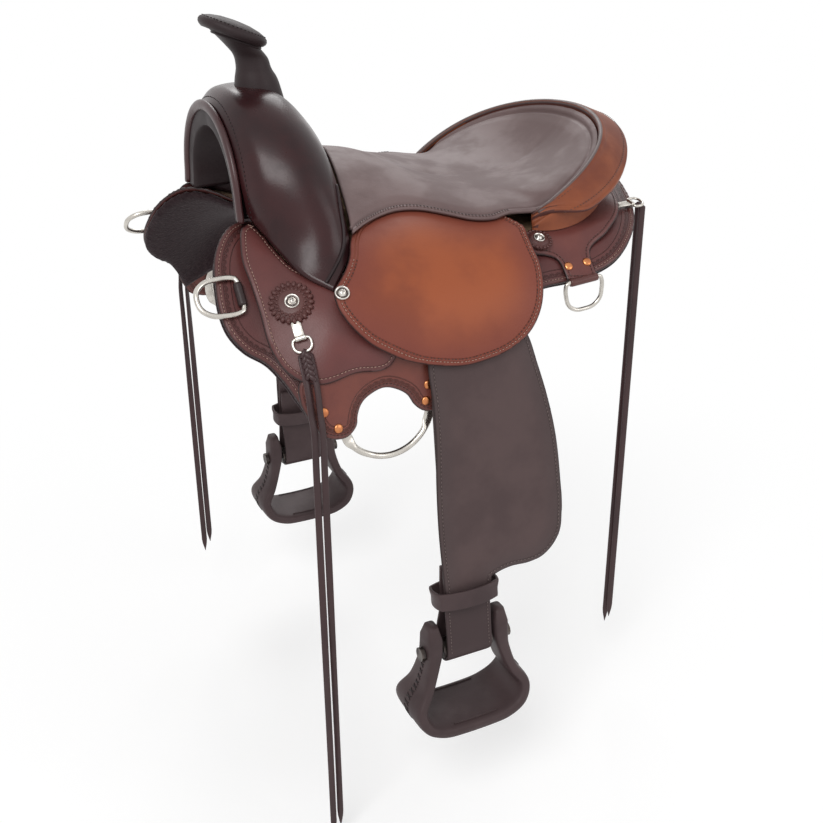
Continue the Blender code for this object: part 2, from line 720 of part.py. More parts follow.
def make_rigging_ring(name, side):
    """A flat plate in the leathers above that turns into a round rod below them."""
    rings = []
    count = 28
    for k in range(count):
        a = math.tau * k / count
        plate = ease((0.62 - math.sin(a)) / 0.2)
        mid_n = mix(GAP + ROD_R, GAP + PLATE_T / 2, plate)
        half_w, half_n = mix(ROD_R, PLATE_HALF_W, plate), mix(ROD_R, PLATE_T / 2, plate)
        ring = []
        for j in range(6):
            b = math.tau * (j + 0.5) / 6
            r = RING_R + half_w * math.cos(b)
            n = mid_n + half_n * max(-1, min(1, math.sin(b)))
            ring.append(on_side(RING_X + r * math.cos(a), RING_DOWN + r * math.sin(a),
                                flat_at(n), side))
        rings.append(ring)
    return loft(f"rigging_ring_{name}", rings, "steel", closed=True)


def scalloped(x, t, radius, count):
    """Outline of a rosette: rounded scallops round a centre on the side surface."""
    steps = count * 3
    out = []
    for k in range(steps):
        a = math.tau * k / steps
        r = radius * (0.93 + 0.07 * abs(math.sin(a * count / 2)) ** 0.7)
        out.append((x + r * math.cos(a), t + r * math.sin(a)))
    return out


def dome(name, frame, radius, height, sink, helper=False):
    """A round concho on a frame: a flat rim, a raised ring and a domed centre."""
    profile = [(0.98, -sink), (1.0, height * 0.35), (0.84, height * 0.62), (0.5, height * 0.64),
               (0.3, height)]
    sides = 10
    rings = [[frame @ Vector((radius * r * math.cos(math.tau * k / sides),
                              radius * r * math.sin(math.tau * k / sides), h))
              for k in range(sides)] for r, h in profile]
    return loft(name, rings, "steel", helper=helper)


def string_bar_frame(side):
    """Frame of the front string dee: X along its straight side, Y down the leather."""
    x, t = ROSETTE_AT[0] - 2, STRING_CLIP_DOWN
    low = front_jockey_low(x, t) + JOCKEY_T + GAP
    return side_frame(x, t + 1, low + 0.3 + STRING_DEE_ROD + FIT + 1.3, side)


def make_rosettes(name, side):
    """The scalloped rosettes with their conchos, and the plain concho at the swell."""
    x, t = ROSETTE_AT
    low = over(front_jockey_low, JOCKEY_T + GAP)
    front = layer(f"rosette_front_{name}", scalloped(x, t, ROSETTE_R, SCALLOPS), low, ROSETTE_T,
                  side, "brown_leather")
    frame = side_frame(x, t, low(x, t) + ROSETTE_T - 0.6, side)
    weld(front, dome(f"concho_front_{name}", frame, CONCHO_R, 4, 1.5, helper=True))
    clip_x, half = x - 2, STRING_DEE_HALF - 4
    wide = half - 0.7
    plate = [(clip_x - wide, t + 12), (clip_x - wide, STRING_CLIP_DOWN),
             (clip_x + wide, STRING_CLIP_DOWN), (clip_x + wide, t + 12)]
    weld(front, layer(f"clip_front_{name}", plate, over(low, 0.2), 1.6, side, "steel", helper=True))
    bar = string_bar_frame(side)
    add_barrel(front, f"string_front_{name}", bar, half, STRING_DEE_ROD, 1.3)
    make_dee(f"string_dee_front_{name}", bar, STRING_DEE_HALF, STRING_DEE_DROP, 0, STRING_DEE_ROD)
    x, t = SWELL_CONCHO_AT
    frame = side_frame(x, t, 0, side)
    frame.translation = on_side(x, t, over(seat_jockey_low, JOCKEY_T + 1.4), side)
    dome(f"concho_swell_{name}", frame, CONCHO_R, 4.4, 0)
    x, t = REAR_ROSETTE_AT
    low = over(rear_jockey_low, JOCKEY_T + GAP)
    rear = layer(f"rosette_rear_{name}", scalloped(x, t, ROSETTE_REAR_R, SCALLOPS), low,
                 ROSETTE_T, side, "brown_leather")
    frame = side_frame(x, t, low(x, t) + ROSETTE_T - 0.6, side)
    weld(rear, dome(f"concho_rear_{name}", frame, CONCHO_R * 0.85, 3.6, 1.5, helper=True))


def add_barrel(obj, name, frame, half, bar_r, wall):
    """Adds the rolled keeper round a dee's straight side, with the hole for it."""
    ends = [frame @ Vector((-half, 0, 0)), frame @ Vector((half, 0, 0))]
    weld(obj, rod(f"{name}_barrel", ends, bar_r + FIT + wall, "brown_leather", helper=True))
    far = [frame @ Vector((-half - 9, 0, 0)), frame @ Vector((half + 9, 0, 0))]
    cut(obj, rod(f"{name}_hole", far, bar_r + FIT + 0.2, "brown_leather", helper=True))


def dee_path(frame, half, drop, bulge):
    """Middle line of a dee: a straight side along the frame's X and a round bow along its Y."""
    corner = 3.5
    right = [(0, 0), (half - corner, 0), (half - 1, 1.2), (half, corner + 0.5),
             (half + bulge, drop * 0.45), (half * 0.88 + bulge, drop * 0.75),
             (half * 0.5, drop * 0.96)]
    left = [(-x, y) for x, y in reversed(right[1:])]
    return [frame @ Vector((x, y, 0)) for x, y in right + [(0, drop)] + left]


def make_dee(name, frame, half, drop, bulge, radius):
    pivot = hook(f"{name}_pivot", frame.translation.copy())
    return rod(name, dee_path(frame, half, drop, bulge), radius, "steel", pivot, closed=True,
               sides=6)


def dee_frames(side):
    """Frames of the front dee, the rear dee and the rear string dee: X along the straight side,
    Y towards the bow."""
    x, t = FRONT_DEE_AT
    base = side_frame(x, t, DEE_ROD + FIT + BARREL_WALL - 0.6, side)
    front = turned(base, Vector((0, 1, 0)), Vector((-1, 0.12, 0)))
    x, t = REAR_DEE_AT
    base = side_frame(x, t, GAP + REAR_DEE_ROD + FIT + BARREL_WALL, side)
    rear = base.copy()
    down = Vector((0, 0, -1))
    first = base.col[0].xyz.normalized()
    down = (down - first * down.dot(first)).normalized()
    rear.col[1].xyz = down
    rear.col[2].xyz = first.cross(down)
    x, t = REAR_CLIP_AT
    base = side_frame(x, t, rear_jockey_low(x, t) + 4.4, side)
    string = turned(base, Vector((0, 1, 0)), Vector((1, 0, 0)))
    return front, rear, string


def turned(frame, first, second):
    """The frame with new X and Y directions, given in its old ones."""
    out = frame.copy()
    a = (frame.to_3x3() @ first).normalized()
    b = frame.to_3x3() @ second
    b = (b - a * b.dot(a)).normalized()
    out.col[0].xyz, out.col[1].xyz, out.col[2].xyz = a, b, a.cross(b)
    return out


def make_dees(name, side, skirt, rear_jockey):
    front, rear, string = dee_frames(side)
    add_barrel(skirt, f"dee_front_{name}", front, DEE_HALF - 7, DEE_ROD, BARREL_WALL)
    make_dee(f"dee_front_{name}", front, DEE_HALF, DEE_DROP, 1, DEE_ROD)
    add_barrel(rear_jockey, f"dee_rear_{name}", rear, REAR_DEE_HALF - 6, REAR_DEE_ROD,
               BARREL_WALL)
    make_dee(f"dee_rear_{name}", rear, REAR_DEE_HALF, REAR_DEE_DROP, 0, REAR_DEE_ROD)
    x, t = REAR_CLIP_AT
    half = STRING_DEE_HALF - 4
    wide = half - 0.7
    plate = [(x - 22, t - wide), (x - 22, t + wide), (x, t + wide), (x, t - wide)]
    weld(rear_jockey, layer(f"clip_rear_{name}", plate, over(rear_jockey_low, 1), 1.6, side,
                            "steel", helper=True))
    add_barrel(rear_jockey, f"string_rear_{name}", string, half, STRING_DEE_ROD, 1.3)
    make_dee(f"string_dee_rear_{name}", string, STRING_DEE_HALF, STRING_DEE_DROP, 0,
             STRING_DEE_ROD)


def cover_net(rows, cols):
    """Net of the swell cover's outer face: rows from the gullet rim to the rear edge, columns from
    the centre down to the edge on the front jockey."""
    def foot(x, t):
        return smooth_side(x, t, TIP_TOP + 2 * GAP + JOCKEY_T + COVER_T + 0.8, 1)

    rim = [(GULLET_X, -GULLET_HALF_W * math.sin(a), GULLET_BASE_Z + GULLET_H * math.cos(a) ** 0.9)
           for a in [math.pi / 2 * k / 5 for k in range(5)]] + [foot(-217, 12)]
    front = [(-199, 0, 137), (-200, -46, 131), (-201, -86, 106), (-203, -115, 70),
             (-205, -126, 34), foot(-207, 38)]
    ridge = [(-152, 0, 133), (-154, -50, 129), (-160, -98, 106), (-164, -135, 66),
             (-174, -150, 22), foot(-197, 67)]
    back = [(-115, 0, 98), (-120, -52, 95), (-126, -102, 78), (-134, -141, 44),
            (-148, -166, 4), foot(-184, 100)]
    rear = [(-89, 0, 57), (-98, -50, 50), (-109, -102, 34), (-119, -140, 14),
            (-130, -168, -14), foot(-165, 123)]
    lines = (rim, front, ridge, back, rear)
    net = []
    for i in range(rows):
        row = []
        for j in range(cols):
            across = [along(line, j / (cols - 1)) for line in lines]
            row.append(along(across, i / (rows - 1)))
        row[0].y = 0
        net.append(row)
    return net


def fork_nets(skin):
    """Outer and lower nets of the wooden fork: the inside of the cover, the gullet's arch, and the
    soles, which reach down past the bars' upper faces."""
    rows, cols = len(skin), len(skin[0])
    outer, under = [], []
    for i, row in enumerate(skin):
        w = i / (rows - 1)
        sole = mix(20, 96, w)
        x_in, x_out = mix(-206, -110, w), mix(-206, -142, w)
        foot_in = smooth_side(x_in, mix(12, 14, w), 0, 1)
        foot_out = smooth_side(x_out, sole, 0, 1)
        outer.append(row + [foot_out])
        top = mix(GULLET_H + GULLET_BASE_Z - FORK_WALL - 4, 34, ease(w))
        line = []
        for j in range(cols):
            a = math.pi / 2 * j / (cols - 1)
            x = mix(row[0].x, foot_in.x, math.sin(a))
            low = foot_in.z + 13
            line.append(Vector((x, foot_in.y * math.sin(a) * 0.93,
                                low + (top - low) * math.cos(a))))
        under.append(line + [foot_in])
    return outer, under


def room(name, side, high):
    """Helper that fills the space below a height over the side surface."""
    outline = [(-300, 4), (320, 4), (320, 205), (-300, 205)]
    return panel(name, outline, flat_at(-30), high, side, "wood", helper=True)


def cut_rooms(obj, label, high):
    for name, side in SIDES:
        cut(obj, room(f"room_{label}_{name}", side, high))


def make_fork():
    """Swell cover, wooden fork, rolled gullet rim and the horn with its wrap."""
    outer = cover_net(8, 9)
    inner = inward(outer, lambda i, j: COVER_T)
    cover = half_shell("swell_cover", outer, inner, "dark_leather")
    cut_rooms(cover, "cover", flat_at(TIP_TOP + JOCKEY_T + 2 * GAP))
    skin = [row[:7] for row in inward(outer, lambda i, j: COVER_T + GAP + FIT)]
    fork = half_shell("tree_fork", *fork_nets(skin), "wood")
    cut_rooms(fork, "fork", over(bar_top, GAP))
    make_horn(cover, fork)
    make_gullet_cover()


def gullet_point(a, inset, x):
    """A point of the gullet's arch at angle a, drawn in by inset."""
    side = math.copysign(1, math.sin(a))
    s = (GULLET_HALF_W - inset) * abs(math.sin(a))
    z = GULLET_BASE_Z + (GULLET_H - inset) * max(0.0, math.cos(a)) ** 0.9
    return Vector((x, -side * s, z))


def make_gullet_cover():
    """The rolled rim of the cover, with the strip that lines the front of the arch."""
    steps = 18
    start = 84
    rings = []
    front = GULLET_X - ROLL_R * 0.9 - FIT
    for k in range(steps + 1):
        a = math.radians(mix(-start, start, k / steps))
        ring = []
        for m in range(7):
            b = math.radians(mix(-50, 230, m / 6))
            ring.append(gullet_point(a, ROLL_R * 0.6 - ROLL_R * 1.3 * math.sin(b),
                                     front + ROLL_R * math.cos(b) * 0.9))
        ring.append(gullet_point(a, FORK_WALL + 5, front + 1.5))
        ring.append(gullet_point(a, FORK_WALL + 5, front + 4.5))
        rings.append(ring)
    return loft("gullet_cover", rings, "dark_leather")


# Horn neck in the centre plane: front point, rear point and half breadth of each section
NECK = [((-190, 130), (-131, 112), 27), ((-188, 146), (-139, 142), 23),
        ((-186, 158), (-146, 155), 20), ((-188, 171), (-149, 165), 19),
        ((-196, 182), (-153, 171), 22)]
CAP_SEAT = -8.4


def horn_frame(along_e, along_n):
    """A point of the horn cap's own plane: front to rear along it, and out of it."""
    tilt = math.radians(HORN_TILT)
    x = CAP_AT[0] + along_e * math.cos(tilt) + along_n * math.sin(tilt)
    z = CAP_AT[1] - along_e * math.sin(tilt) + along_n * math.cos(tilt)
    return Vector((x, 0, z))


def neck_rings(shrink, sides=14):
    sections = [(Vector((f[0], 0, f[1])), Vector((r[0], 0, r[1])), b) for f, r, b in NECK]
    sections.append((horn_frame(-25, CAP_SEAT), horn_frame(33, CAP_SEAT), 27))
    rings = []
    for front, rear, breadth in sections:
        centre, half = (front + rear) / 2, (rear - front) / 2
        reach = half.length - shrink
        d = half.normalized()
        rings.append([centre + d * reach * math.cos(math.tau * k / sides)
                      + Vector((0, 1, 0)) * (breadth - shrink) * math.sin(math.tau * k / sides)
                      for k in range(sides)])
    return rings


def horn_root(ring, widen, z):
    """The horn's root in the fork: the neck's lowest ring drawn in and set level."""
    centre = sum(ring, Vector()) / len(ring)
    out = []
    for p in ring:
        d = Vector((p.x - centre.x, p.y, 0))
        out.append(Vector((centre.x, 0, z)) + d * 0.8 + d.normalized() * widen)
    return out


def make_horn(cover, fork):
    core = neck_rings(WRAP_T + FIT)
    loft("horn_core", [horn_root(core[0], 0, 100)] + core, "wood")
    bore = [horn_root(core[0], FIT, 99.6)] + neck_rings(WRAP_T)[:3]
    hole = loft("horn_bore", bore, "wood", helper=True)
    cut(cover, hole)
    cut(fork, hole)
    wrap = tube_shell("horn_neck_wrap", neck_rings(0), neck_rings(WRAP_T), "dark_leather")
    net = cover_net(8, 9)
    lifted = inward(net, lambda i, j: -GAP)
    sunk = inward(net, lambda i, j: 30)
    cut(wrap, half_shell("cover_room", lifted, sunk, "wood", helper=True))
    profile = [(8, 9.4), (17, 8.8), (28, 6.6), (35, 4), (CAP_R, 0), (CAP_R, -3.5), (37, -7),
               (34, CAP_SEAT + FIT), (12, CAP_SEAT + FIT)]
    sides = 24
    centre = horn_frame(0, 0)
    e = (horn_frame(1, 0) - centre).normalized()
    n = (horn_frame(0, 1) - centre).normalized()
    rings = [[centre + n * h + (e * math.cos(math.tau * k / sides)
                                + Vector((0, 1, 0)) * math.sin(math.tau * k / sides)) * r
              for k in range(sides)] for r, h in profile]
    loft("horn_cap", rings, "dark_leather")


def rim_point(deg, drop=0, inset=0):
    """The cantle's rim bead at an angle from the rear centre."""
    a = math.radians(deg)
    return Vector((RIM_X + (RIM_A - inset) * math.cos(a), -(RIM_B - inset) * math.sin(a),
                   RIM_Z + RIM_RISE * math.cos(a) - RIM_DIP * math.cos(2 * a) - drop))


def roll_point(deg):
    """The outermost edge of the cantle's roll."""
    a = math.radians(deg)
    return Vector((ROLL_X + ROLL_A * math.cos(a), -ROLL_B * math.sin(a),
                   EDGE_Z + EDGE_RISE * math.cos(a) + EDGE_DIP * math.cos(2 * a)))


def down_to(x, s):
    """Distance down the side surface at which its half width is s."""
    low, high = -76.0, 240.0
    for _ in range(24):
        mid = (low + high) / 2
        if section_point(x, mid, TIP_TOP)[0] < s:
            low = mid
        else:
            high = mid
    return low


def base_point(deg, inset, n):
    """Foot of the cantle, at height n over the side surface."""
    a = math.radians(deg)
    x = RIM_X + (RIM_A + 2 - inset) * math.cos(a)
    s = (RIM_B + 1 - inset) * math.sin(a)
    point = smooth_side(x, down_to(x, s), n, 1)
    return Vector((x, -s, point.z))


def seat_net(rows, cols):
    """Net of the seat's upper face and its lower edge: rows round the edge from the swell to the
    rear centre, columns from the middle line out to the edge."""
    edges, feet, rises = [], [], []
    front_rows = rows * 9 // 17
    for i in range(front_rows):
        x, t = along(SEAM, i / (front_rows - 1))
        edges.append(on_side(x, t, flat_at(SEAT_N), 1))
        feet.append(on_side(x, t, flat_at(SEAT_N - SEAT_EDGE_T), 1))
        rises.append(12)
    for i in range(rows - front_rows):
        w = (i + 0.35) / (rows - front_rows - 0.65)
        deg = mix(RIM_END - 4, 0, w)
        edges.append(rim_point(deg, BEAD_R, SEAT_IN))
        feet.append(rim_point(deg, BEAD_R + SEAT_EDGE_T, SEAT_IN + 0.6))
        rises.append(mix(-4, -27, ease((RIM_END - deg) / 80)))
    net = []
    for i in range(rows):
        start = along(SEAT_LINE, i / (rows - 1))
        spine = Vector((start.x, 0, start.y))
        edge = edges[i]
        flat = Vector((edge.x - spine.x, edge.y - spine.y, 0))
        p1 = spine + flat * 0.45
        p2 = spine + flat * 0.8
        p2.z = edge.z + rises[i]
        row = []
        for j in range(cols):
            w = j / (cols - 1)
            row.append(spine * (1 - w) ** 3 + p1 * 3 * w * (1 - w) ** 2
                       + p2 * 3 * w * w * (1 - w) + edge * w ** 3)
        row[0].y = 0
        net.append(row)
    for p in net[-1] + [feet[-1]]:
        p.y = 0
    return net, feet


def make_seat():
    """The padded seat and the ground seat that it lies on, built up from the bars."""
    rows, cols = 18, 7
    net, feet = seat_net(rows, cols)

    def pad(i, j):
        return mix(SEAT_T, SEAT_EDGE_T, ease(j / (cols - 1)))

    under = inward(net, pad, closed_end=True)
    for row, foot in zip(under, feet):
        row[-1] = foot
    half_shell("seat_pad", net, under, "seat_leather", closed_end=True)
    keep = cols - 2
    top = [row[:keep] for row in inward(net, lambda i, j: pad(i, j) + 2 * GAP, closed_end=True)]
    low = [row[:keep] for row in inward(net, lambda i, j: pad(i, j) + 2 * GAP + GROUND_T,
                                        closed_end=True)]
    for row in low[:-3]:
        for j in (-2, -1):
            row[j].z -= GROUND_DEEP
    ground = half_shell("ground_seat", top, low, "wood", closed_end=True)
    cut_rooms(ground, "ground", over(bar_top, GAP))


def cantle_section(deg):
    """Outline of the cantle cover in the plane at one angle: its outer line, then the inner."""
    bead, edge = rim_point(deg), roll_point(deg)
    foot = base_point(deg, 0, TIP_TOP + JOCKEY_T + 2 * GAP)
    flat = Vector((edge.x - bead.x, edge.y - bead.y, 0))
    out, width = flat.normalized(), flat.length
    up = Vector((0, 0, 1))
    slope = (edge.z - bead.z) / width
    high = max(14.0, min(34.0, (bead.z - foot.z) * 0.5))
    line = [bead + up * 2.5 - out * 2, bead + up * 3.2 + out * 3,
            bead + out * width * 0.5 + up * (slope * width * 0.5 + 3),
            edge - out * 3 + up * 2.4, edge, edge - out * 2.5 - up * 5,
            bead + out * width * 0.45 + up * (slope * width * 0.45 - 8),
            bead + out * 6 - up * high * 0.75, foot + out * 4 + up * 4, foot + out * 4]
    back = [foot - out * 0.5, foot - out * 0.5 + up * 3, bead + out * 1 - up * high * 0.75,
            bead - out * 1.5 - up * 7, bead - out * 3.2 + up * 0.4]
    return line + back


def make_cantle():
    """The cantle's rolled leather back and the wooden cantle inside it."""
    steps = 12
    for name, end, mat in (("cantle_back", BACK_END, "tan_leather"),
                           ("tree_cantle", CANTLE_END, "wood")):
        rings = []
        for k in range(2 * steps + 1):
            deg = mix(-end, end, k / (2 * steps))
            ring = cantle_section(abs(deg)) if name == "cantle_back" else wood_section(abs(deg))
            rings.append([Vector((p.x, -p.y, p.z)) for p in ring] if deg < 0 else ring)
        piece = loft(name, rings, mat)
        carried_by = over(rear_jockey_low, JOCKEY_T) if name == "cantle_back" else bar_top
        high = over(carried_by, GAP)
        cut_rooms(piece, name, high)


def wood_section(deg):
    """Outline of the wooden cantle at one angle: rim, back, sole and dish."""
    stand = TIP_TOP - 3
    foot, inner = base_point(deg, 9, stand), base_point(deg, 26, stand)
    top, dish = rim_point(deg, 15, 5), rim_point(deg, 21, 13)
    top.z = max(top.z, foot.z + 6)
    dish.z = max(dish.z, inner.z + 3)
    return [top, foot, inner, dish]


def make_strings(name, side, reach):
    """The leather strings: two on the front string dee and two on the rear one."""
    front, rear = string_bar_frame(side), dee_frames(side)[2]
    clear = STRING_DEE_ROD + FIT
    for k, shift in ((1, -4.6), (2, 4.6)):
        points = [front @ Vector((shift, STRING_DEE_DROP * 0.99 + clear, 0))]
        drape = [(STRING_CLIP_DOWN + STRING_DEE_DROP + 14, 18), (204, 18.4), (220, 17.6),
                 (240, 15), (262, 14)]
        points += [smooth_side(ROSETTE_AT[0] - 2 + shift, t, n, side) for t, n in drape]
        points += hanging(points[-1], -side * 4, reach[k - 1], 12)
        string_tube(f"string_front_{name}_{k}", points)
        start = rear @ Vector((shift, STRING_DEE_DROP * 0.99, 0)) - Vector((0, 0, clear + 1))
        points = [start, start - Vector((0, 0, 16))]
        points += hanging(points[-1], -side * 2, REAR_STRING_Z[k - 1], 12)
        string_tube(f"string_rear_{name}_{k}", points)


def hanging(start, outward, low_z, count):
    """Points of a stretch that falls straight under its own weight."""
    out = []
    for i in range(1, count + 1):
        w = i / count
        out.append(Vector((start.x, start.y + outward * ease(w), mix(start.z, low_z, w))))
    return out


def string_tube(name, route):
    """A string as a curve through its route, with filled ends."""
    curve = bpy.data.curves.new(name, "CURVE")
    curve.dimensions = "3D"
    curve.bevel_depth = STRING_R * MM
    curve.bevel_resolution = 2
    curve.use_fill_caps = True
    spline = curve.splines.new("POLY")
    spline.points.add(STRING_POINTS - 1)
    for i in range(STRING_POINTS):
        p = along(route, i / (STRING_POINTS - 1)) * MM
        spline.points[i].co = (*p, 1)
    curve.materials.append(material("thong_leather"))
    obj = bpy.data.objects.new(name, curve)
    bpy.context.scene.collection.objects.link(obj)
    return obj


def clear_scene():
    for obj in list(bpy.data.objects):
        bpy.data.objects.remove(obj, do_unlink=True)


def main():
    clear_scene()
    for name, side in SIDES:
        skirt, rear_jockey = make_flat_leathers(name, side)
        make_bar(name, side)
        make_leg(name, side)
        make_rigging_ring(name, side)
        make_rosettes(name, side)
        make_dees(name, side, skirt, rear_jockey)
        make_strings(name, side, FRONT_STRING_Z[name])
    make_fork()
    make_seat()
    make_cantle()


main()
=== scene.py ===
"""A western trail saddle, dressed in its leathers.

Lengths are in millimetres until a piece is finished.
"""

import json
import math

import bmesh
import bpy
from mathutils import Matrix, Vector
from mathutils.kdtree import KDTree


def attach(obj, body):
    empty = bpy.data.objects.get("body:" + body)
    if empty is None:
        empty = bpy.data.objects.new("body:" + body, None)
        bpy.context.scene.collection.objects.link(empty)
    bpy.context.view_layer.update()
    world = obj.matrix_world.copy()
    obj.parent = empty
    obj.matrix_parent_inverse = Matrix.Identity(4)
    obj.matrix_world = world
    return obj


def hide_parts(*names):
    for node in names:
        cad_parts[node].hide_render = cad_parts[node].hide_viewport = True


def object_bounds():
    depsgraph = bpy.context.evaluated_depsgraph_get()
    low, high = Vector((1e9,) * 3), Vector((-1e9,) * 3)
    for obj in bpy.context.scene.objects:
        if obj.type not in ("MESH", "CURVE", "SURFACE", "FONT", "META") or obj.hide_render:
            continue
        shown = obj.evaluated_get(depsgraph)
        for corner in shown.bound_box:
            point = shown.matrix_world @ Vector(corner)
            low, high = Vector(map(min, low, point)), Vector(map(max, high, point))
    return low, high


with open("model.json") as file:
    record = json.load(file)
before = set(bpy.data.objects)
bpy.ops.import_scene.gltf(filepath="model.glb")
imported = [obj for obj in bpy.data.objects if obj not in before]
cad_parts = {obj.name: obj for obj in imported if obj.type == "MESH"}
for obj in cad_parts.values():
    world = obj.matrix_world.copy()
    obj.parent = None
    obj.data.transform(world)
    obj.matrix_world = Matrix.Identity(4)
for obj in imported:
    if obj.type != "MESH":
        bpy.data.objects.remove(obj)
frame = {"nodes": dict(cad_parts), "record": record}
CAD_BOX = [list(corner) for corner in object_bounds()]
RECORD = frame["record"]
BODY_OF = {n: b for b, nodes in RECORD["behaviour"]["bodies"].items() for n in nodes}

MM = 0.001
PANEL_STEP, EDGE_ROUND, FIRST_INSET = 3, 0.4, 0.35
OFF_CORNER = 0.013  # keeps the cuts through a leather off the corners of its outline
GAP = 0.4
FIT = 0.3
SIDES = (("left", 1), ("right", -1))

# The side surface that every skirt and jockey lies on
MIDDLE = {"top_s": 68, "top_z": -22, "lean_in": 6, "lean_out": 82, "bend": 205, "power": 2.0}
FRONT = {"top_s": 84, "top_z": 18, "lean_in": 42, "lean_out": 66, "bend": 240, "power": 1.5}
REAR = {"top_s": 68, "top_z": -14, "lean_in": 6, "lean_out": 52, "bend": 240, "power": 1.5}
FRONT_START, FRONT_RUN = -140, 110
REAR_START, REAR_RUN = 120, 190
ROW_STEP = 2.0
ROW_LENGTH = 260

# Leather thicknesses and heights over the skirt
LINING_T, SKIRT_T, RIG_T, PLATE_T, JOCKEY_T, FENDER_T, STRAP_T = 9, 5, 4.5, 2.5, 4, 3.2, 4
BAR_TIP_T = 8
TIP_TOP = GAP + BAR_TIP_T
SEAT_N, SEAT_EDGE_T, SEAM_GAP, JOCKEY_LIFT = 42, 4, 0.8, 5
FENDER_N = 12.8
STRAP_N = FENDER_N - GAP - STRAP_T
COVER_T = 4

# Seat, cantle
SEAT_LINE = [(-85, 57), (-51, 52), (-21, 41), (5, 29), (33, 16), (62, 7), (95, 4), (125, 4),
             (150, 6)]
SEAM = [(-119, 84), (-98, 72), (-72, 61), (-48, 56), (-24, 61), (0, 75), (24, 88), (50, 92),
        (76, 87)]
RIM_X, RIM_A, RIM_B = 141, 127, 163
RIM_Z, RIM_RISE, RIM_DIP = 3, 80, 6.5
ROLL_X, ROLL_A, ROLL_B = 144, 163, 186
EDGE_Z, EDGE_RISE, EDGE_DIP = 12, 30, 20
RIM_END, ROLL_END = 105, 104
BEAD_R, SEAT_IN, CANTLE_ROOM = 3.5, 4.6, 5

# Leg and stirrup
LEG_X, STRAP_W, STRAP_TOP, BOLT_DOWN, ROLLER_R = -36, 60, 212, 580, 13
STIRRUP_IN_TOP, STIRRUP_IN_LOW, STIRRUP_WALL, STIRRUP_EAR = 34, 62, 13, 38
TREAD_DOWN, TREAD_WALL, TREAD_DEPTH, EAR_DEPTH = 86, 17, 84, 40
HOBBLE_DOWN, HOBBLE_H, HOBBLE_T, HOBBLE_W, HOBBLE_DEPTH, HOBBLE_CORNER = 508, 22, 3.2, 72, 25.4, 3

# Rigging ring, fork, gullet and horn
RING_X, RING_DOWN, RING_R, ROD_R, PLATE_HALF_W = -118, 262, 54, 3.6, 6
GULLET_X, GULLET_HALF_W, GULLET_H, GULLET_BASE_Z, FORK_WALL, ROLL_R = -221, 102, 110, 12, 18, 4.5
HORN_TILT, CAP_R, CAP_AT, CAP_SEAT = 22.3, 39.5, (-187, 199), -8.4
NECK = [((-190, 130), (-131, 112), 27), ((-188, 146), (-139, 142), 23),
        ((-186, 158), (-146, 155), 20), ((-188, 171), (-149, 165), 19),
        ((-196, 182), (-153, 171), 22)]

# Dees, rosettes, conchos and strings
DEE_ROD, DEE_HALF, DEE_DROP = 3, 20, 47
REAR_DEE_ROD, REAR_DEE_HALF, REAR_DEE_DROP = 2.5, 24, 36
STRING_DEE_ROD, STRING_DEE_HALF, STRING_DEE_DROP = 1.6, 10, 15
BARREL_WALL = 1.8
ROSETTE_R, ROSETTE_REAR_R, ROSETTE_T, CONCHO_R = 25, 17.5, 3.5, 8.2
ROSETTE_AT, REAR_ROSETTE_AT, SWELL_CONCHO_AT = (-203, 123), (110, 105), (-157, 140)
FRONT_DEE_AT, REAR_DEE_AT, REAR_CLIP_AT = (-249, 100), (147, 162), (269, 66)
STRING_CLIP_DOWN, STRING_W, STRING_T = 161, 8, 2.8
FRONT_STRING_Z = {"left": (-747, -732), "right": (-622, -608)}
REAR_STRING_Z = (-660, -646)

RIG_RIVETS = ((-194, 241), (-180, 264), (-72, 261), (-68, 243))
TAB_RIVETS = ((135, 142), (160, 142))
CLIP_T, FRONT_CLIP, REAR_CLIP = 1.6, 18, 22

# Sewn lines: distances in from the edge of each leather
SEAM_IN = {"skirt": (5,), "rig": (4.5,), "front": (5.5,), "rear": (5,), "jockey": (5, 8.2),
           "fender": (5.5,)}
STRAP_SEAM_IN, HOBBLE_SEAM_IN = 4.5, 3.4

# The gullet's arch, past whose end its legs run straight down and out
ARCH_END, ROLL_ARC = math.radians(84), math.radians(93)
LEG_FALL, LEG_SPLAY = 95, 24

# The photograph's camera, and the floor's shaded and white parts in metres
CAMERA_AT, CAMERA_TURN = (-584, -1268, 363), (64.2, 25.7, -0.3)
FOCAL_PX, PHOTO_PX, SENSOR = 1140, 823, 36
FLOOR_HALF, FLOOR_DROP, SHADED_R, WHITE_R = 20, 0.004, 0.55, 1.5

# Outlines on the side surface, as (x, distance down it)
SKIRT_FRONT = [(-196, -6), (-216, 2), (-236, 14), (-252, 31), (-264, 54), (-271, 84), (-274, 118),
               (-271, 138), (-258, 161), (-238, 179), (-226, 200), (-216, 224), (-206, 252)]
RIG_LOBE = [(-198, 266), (-184, 275), (-166, 278), (-157, 272), (-154, 260)]
RIG_ARCH = [(-148, 249), (-136, 241), (-120, 237), (-105, 242), (-93, 251)]
RIG_HEEL = [(-86, 263), (-76, 272), (-58, 274), (-46, 262)]
SKIRT_RISE = [(-178, 232), (-120, 226), (-60, 224)]
SKIRT_FOOT = [(-20, 216), (12, 198), (48, 176), (96, 160), (140, 158), (172, 155)]
SKIRT_REAR = [(200, 147), (228, 128), (252, 102), (274, 66), (294, 22), (310, -22), (314, -60)]
SKIRT_TOP = [(296, -66), (258, -56), (230, -16), (196, 4), (0, 6)]
RIG_TOP = [(-40, 214), (-60, 198), (-120, 190), (-180, 192), (-214, 206)]
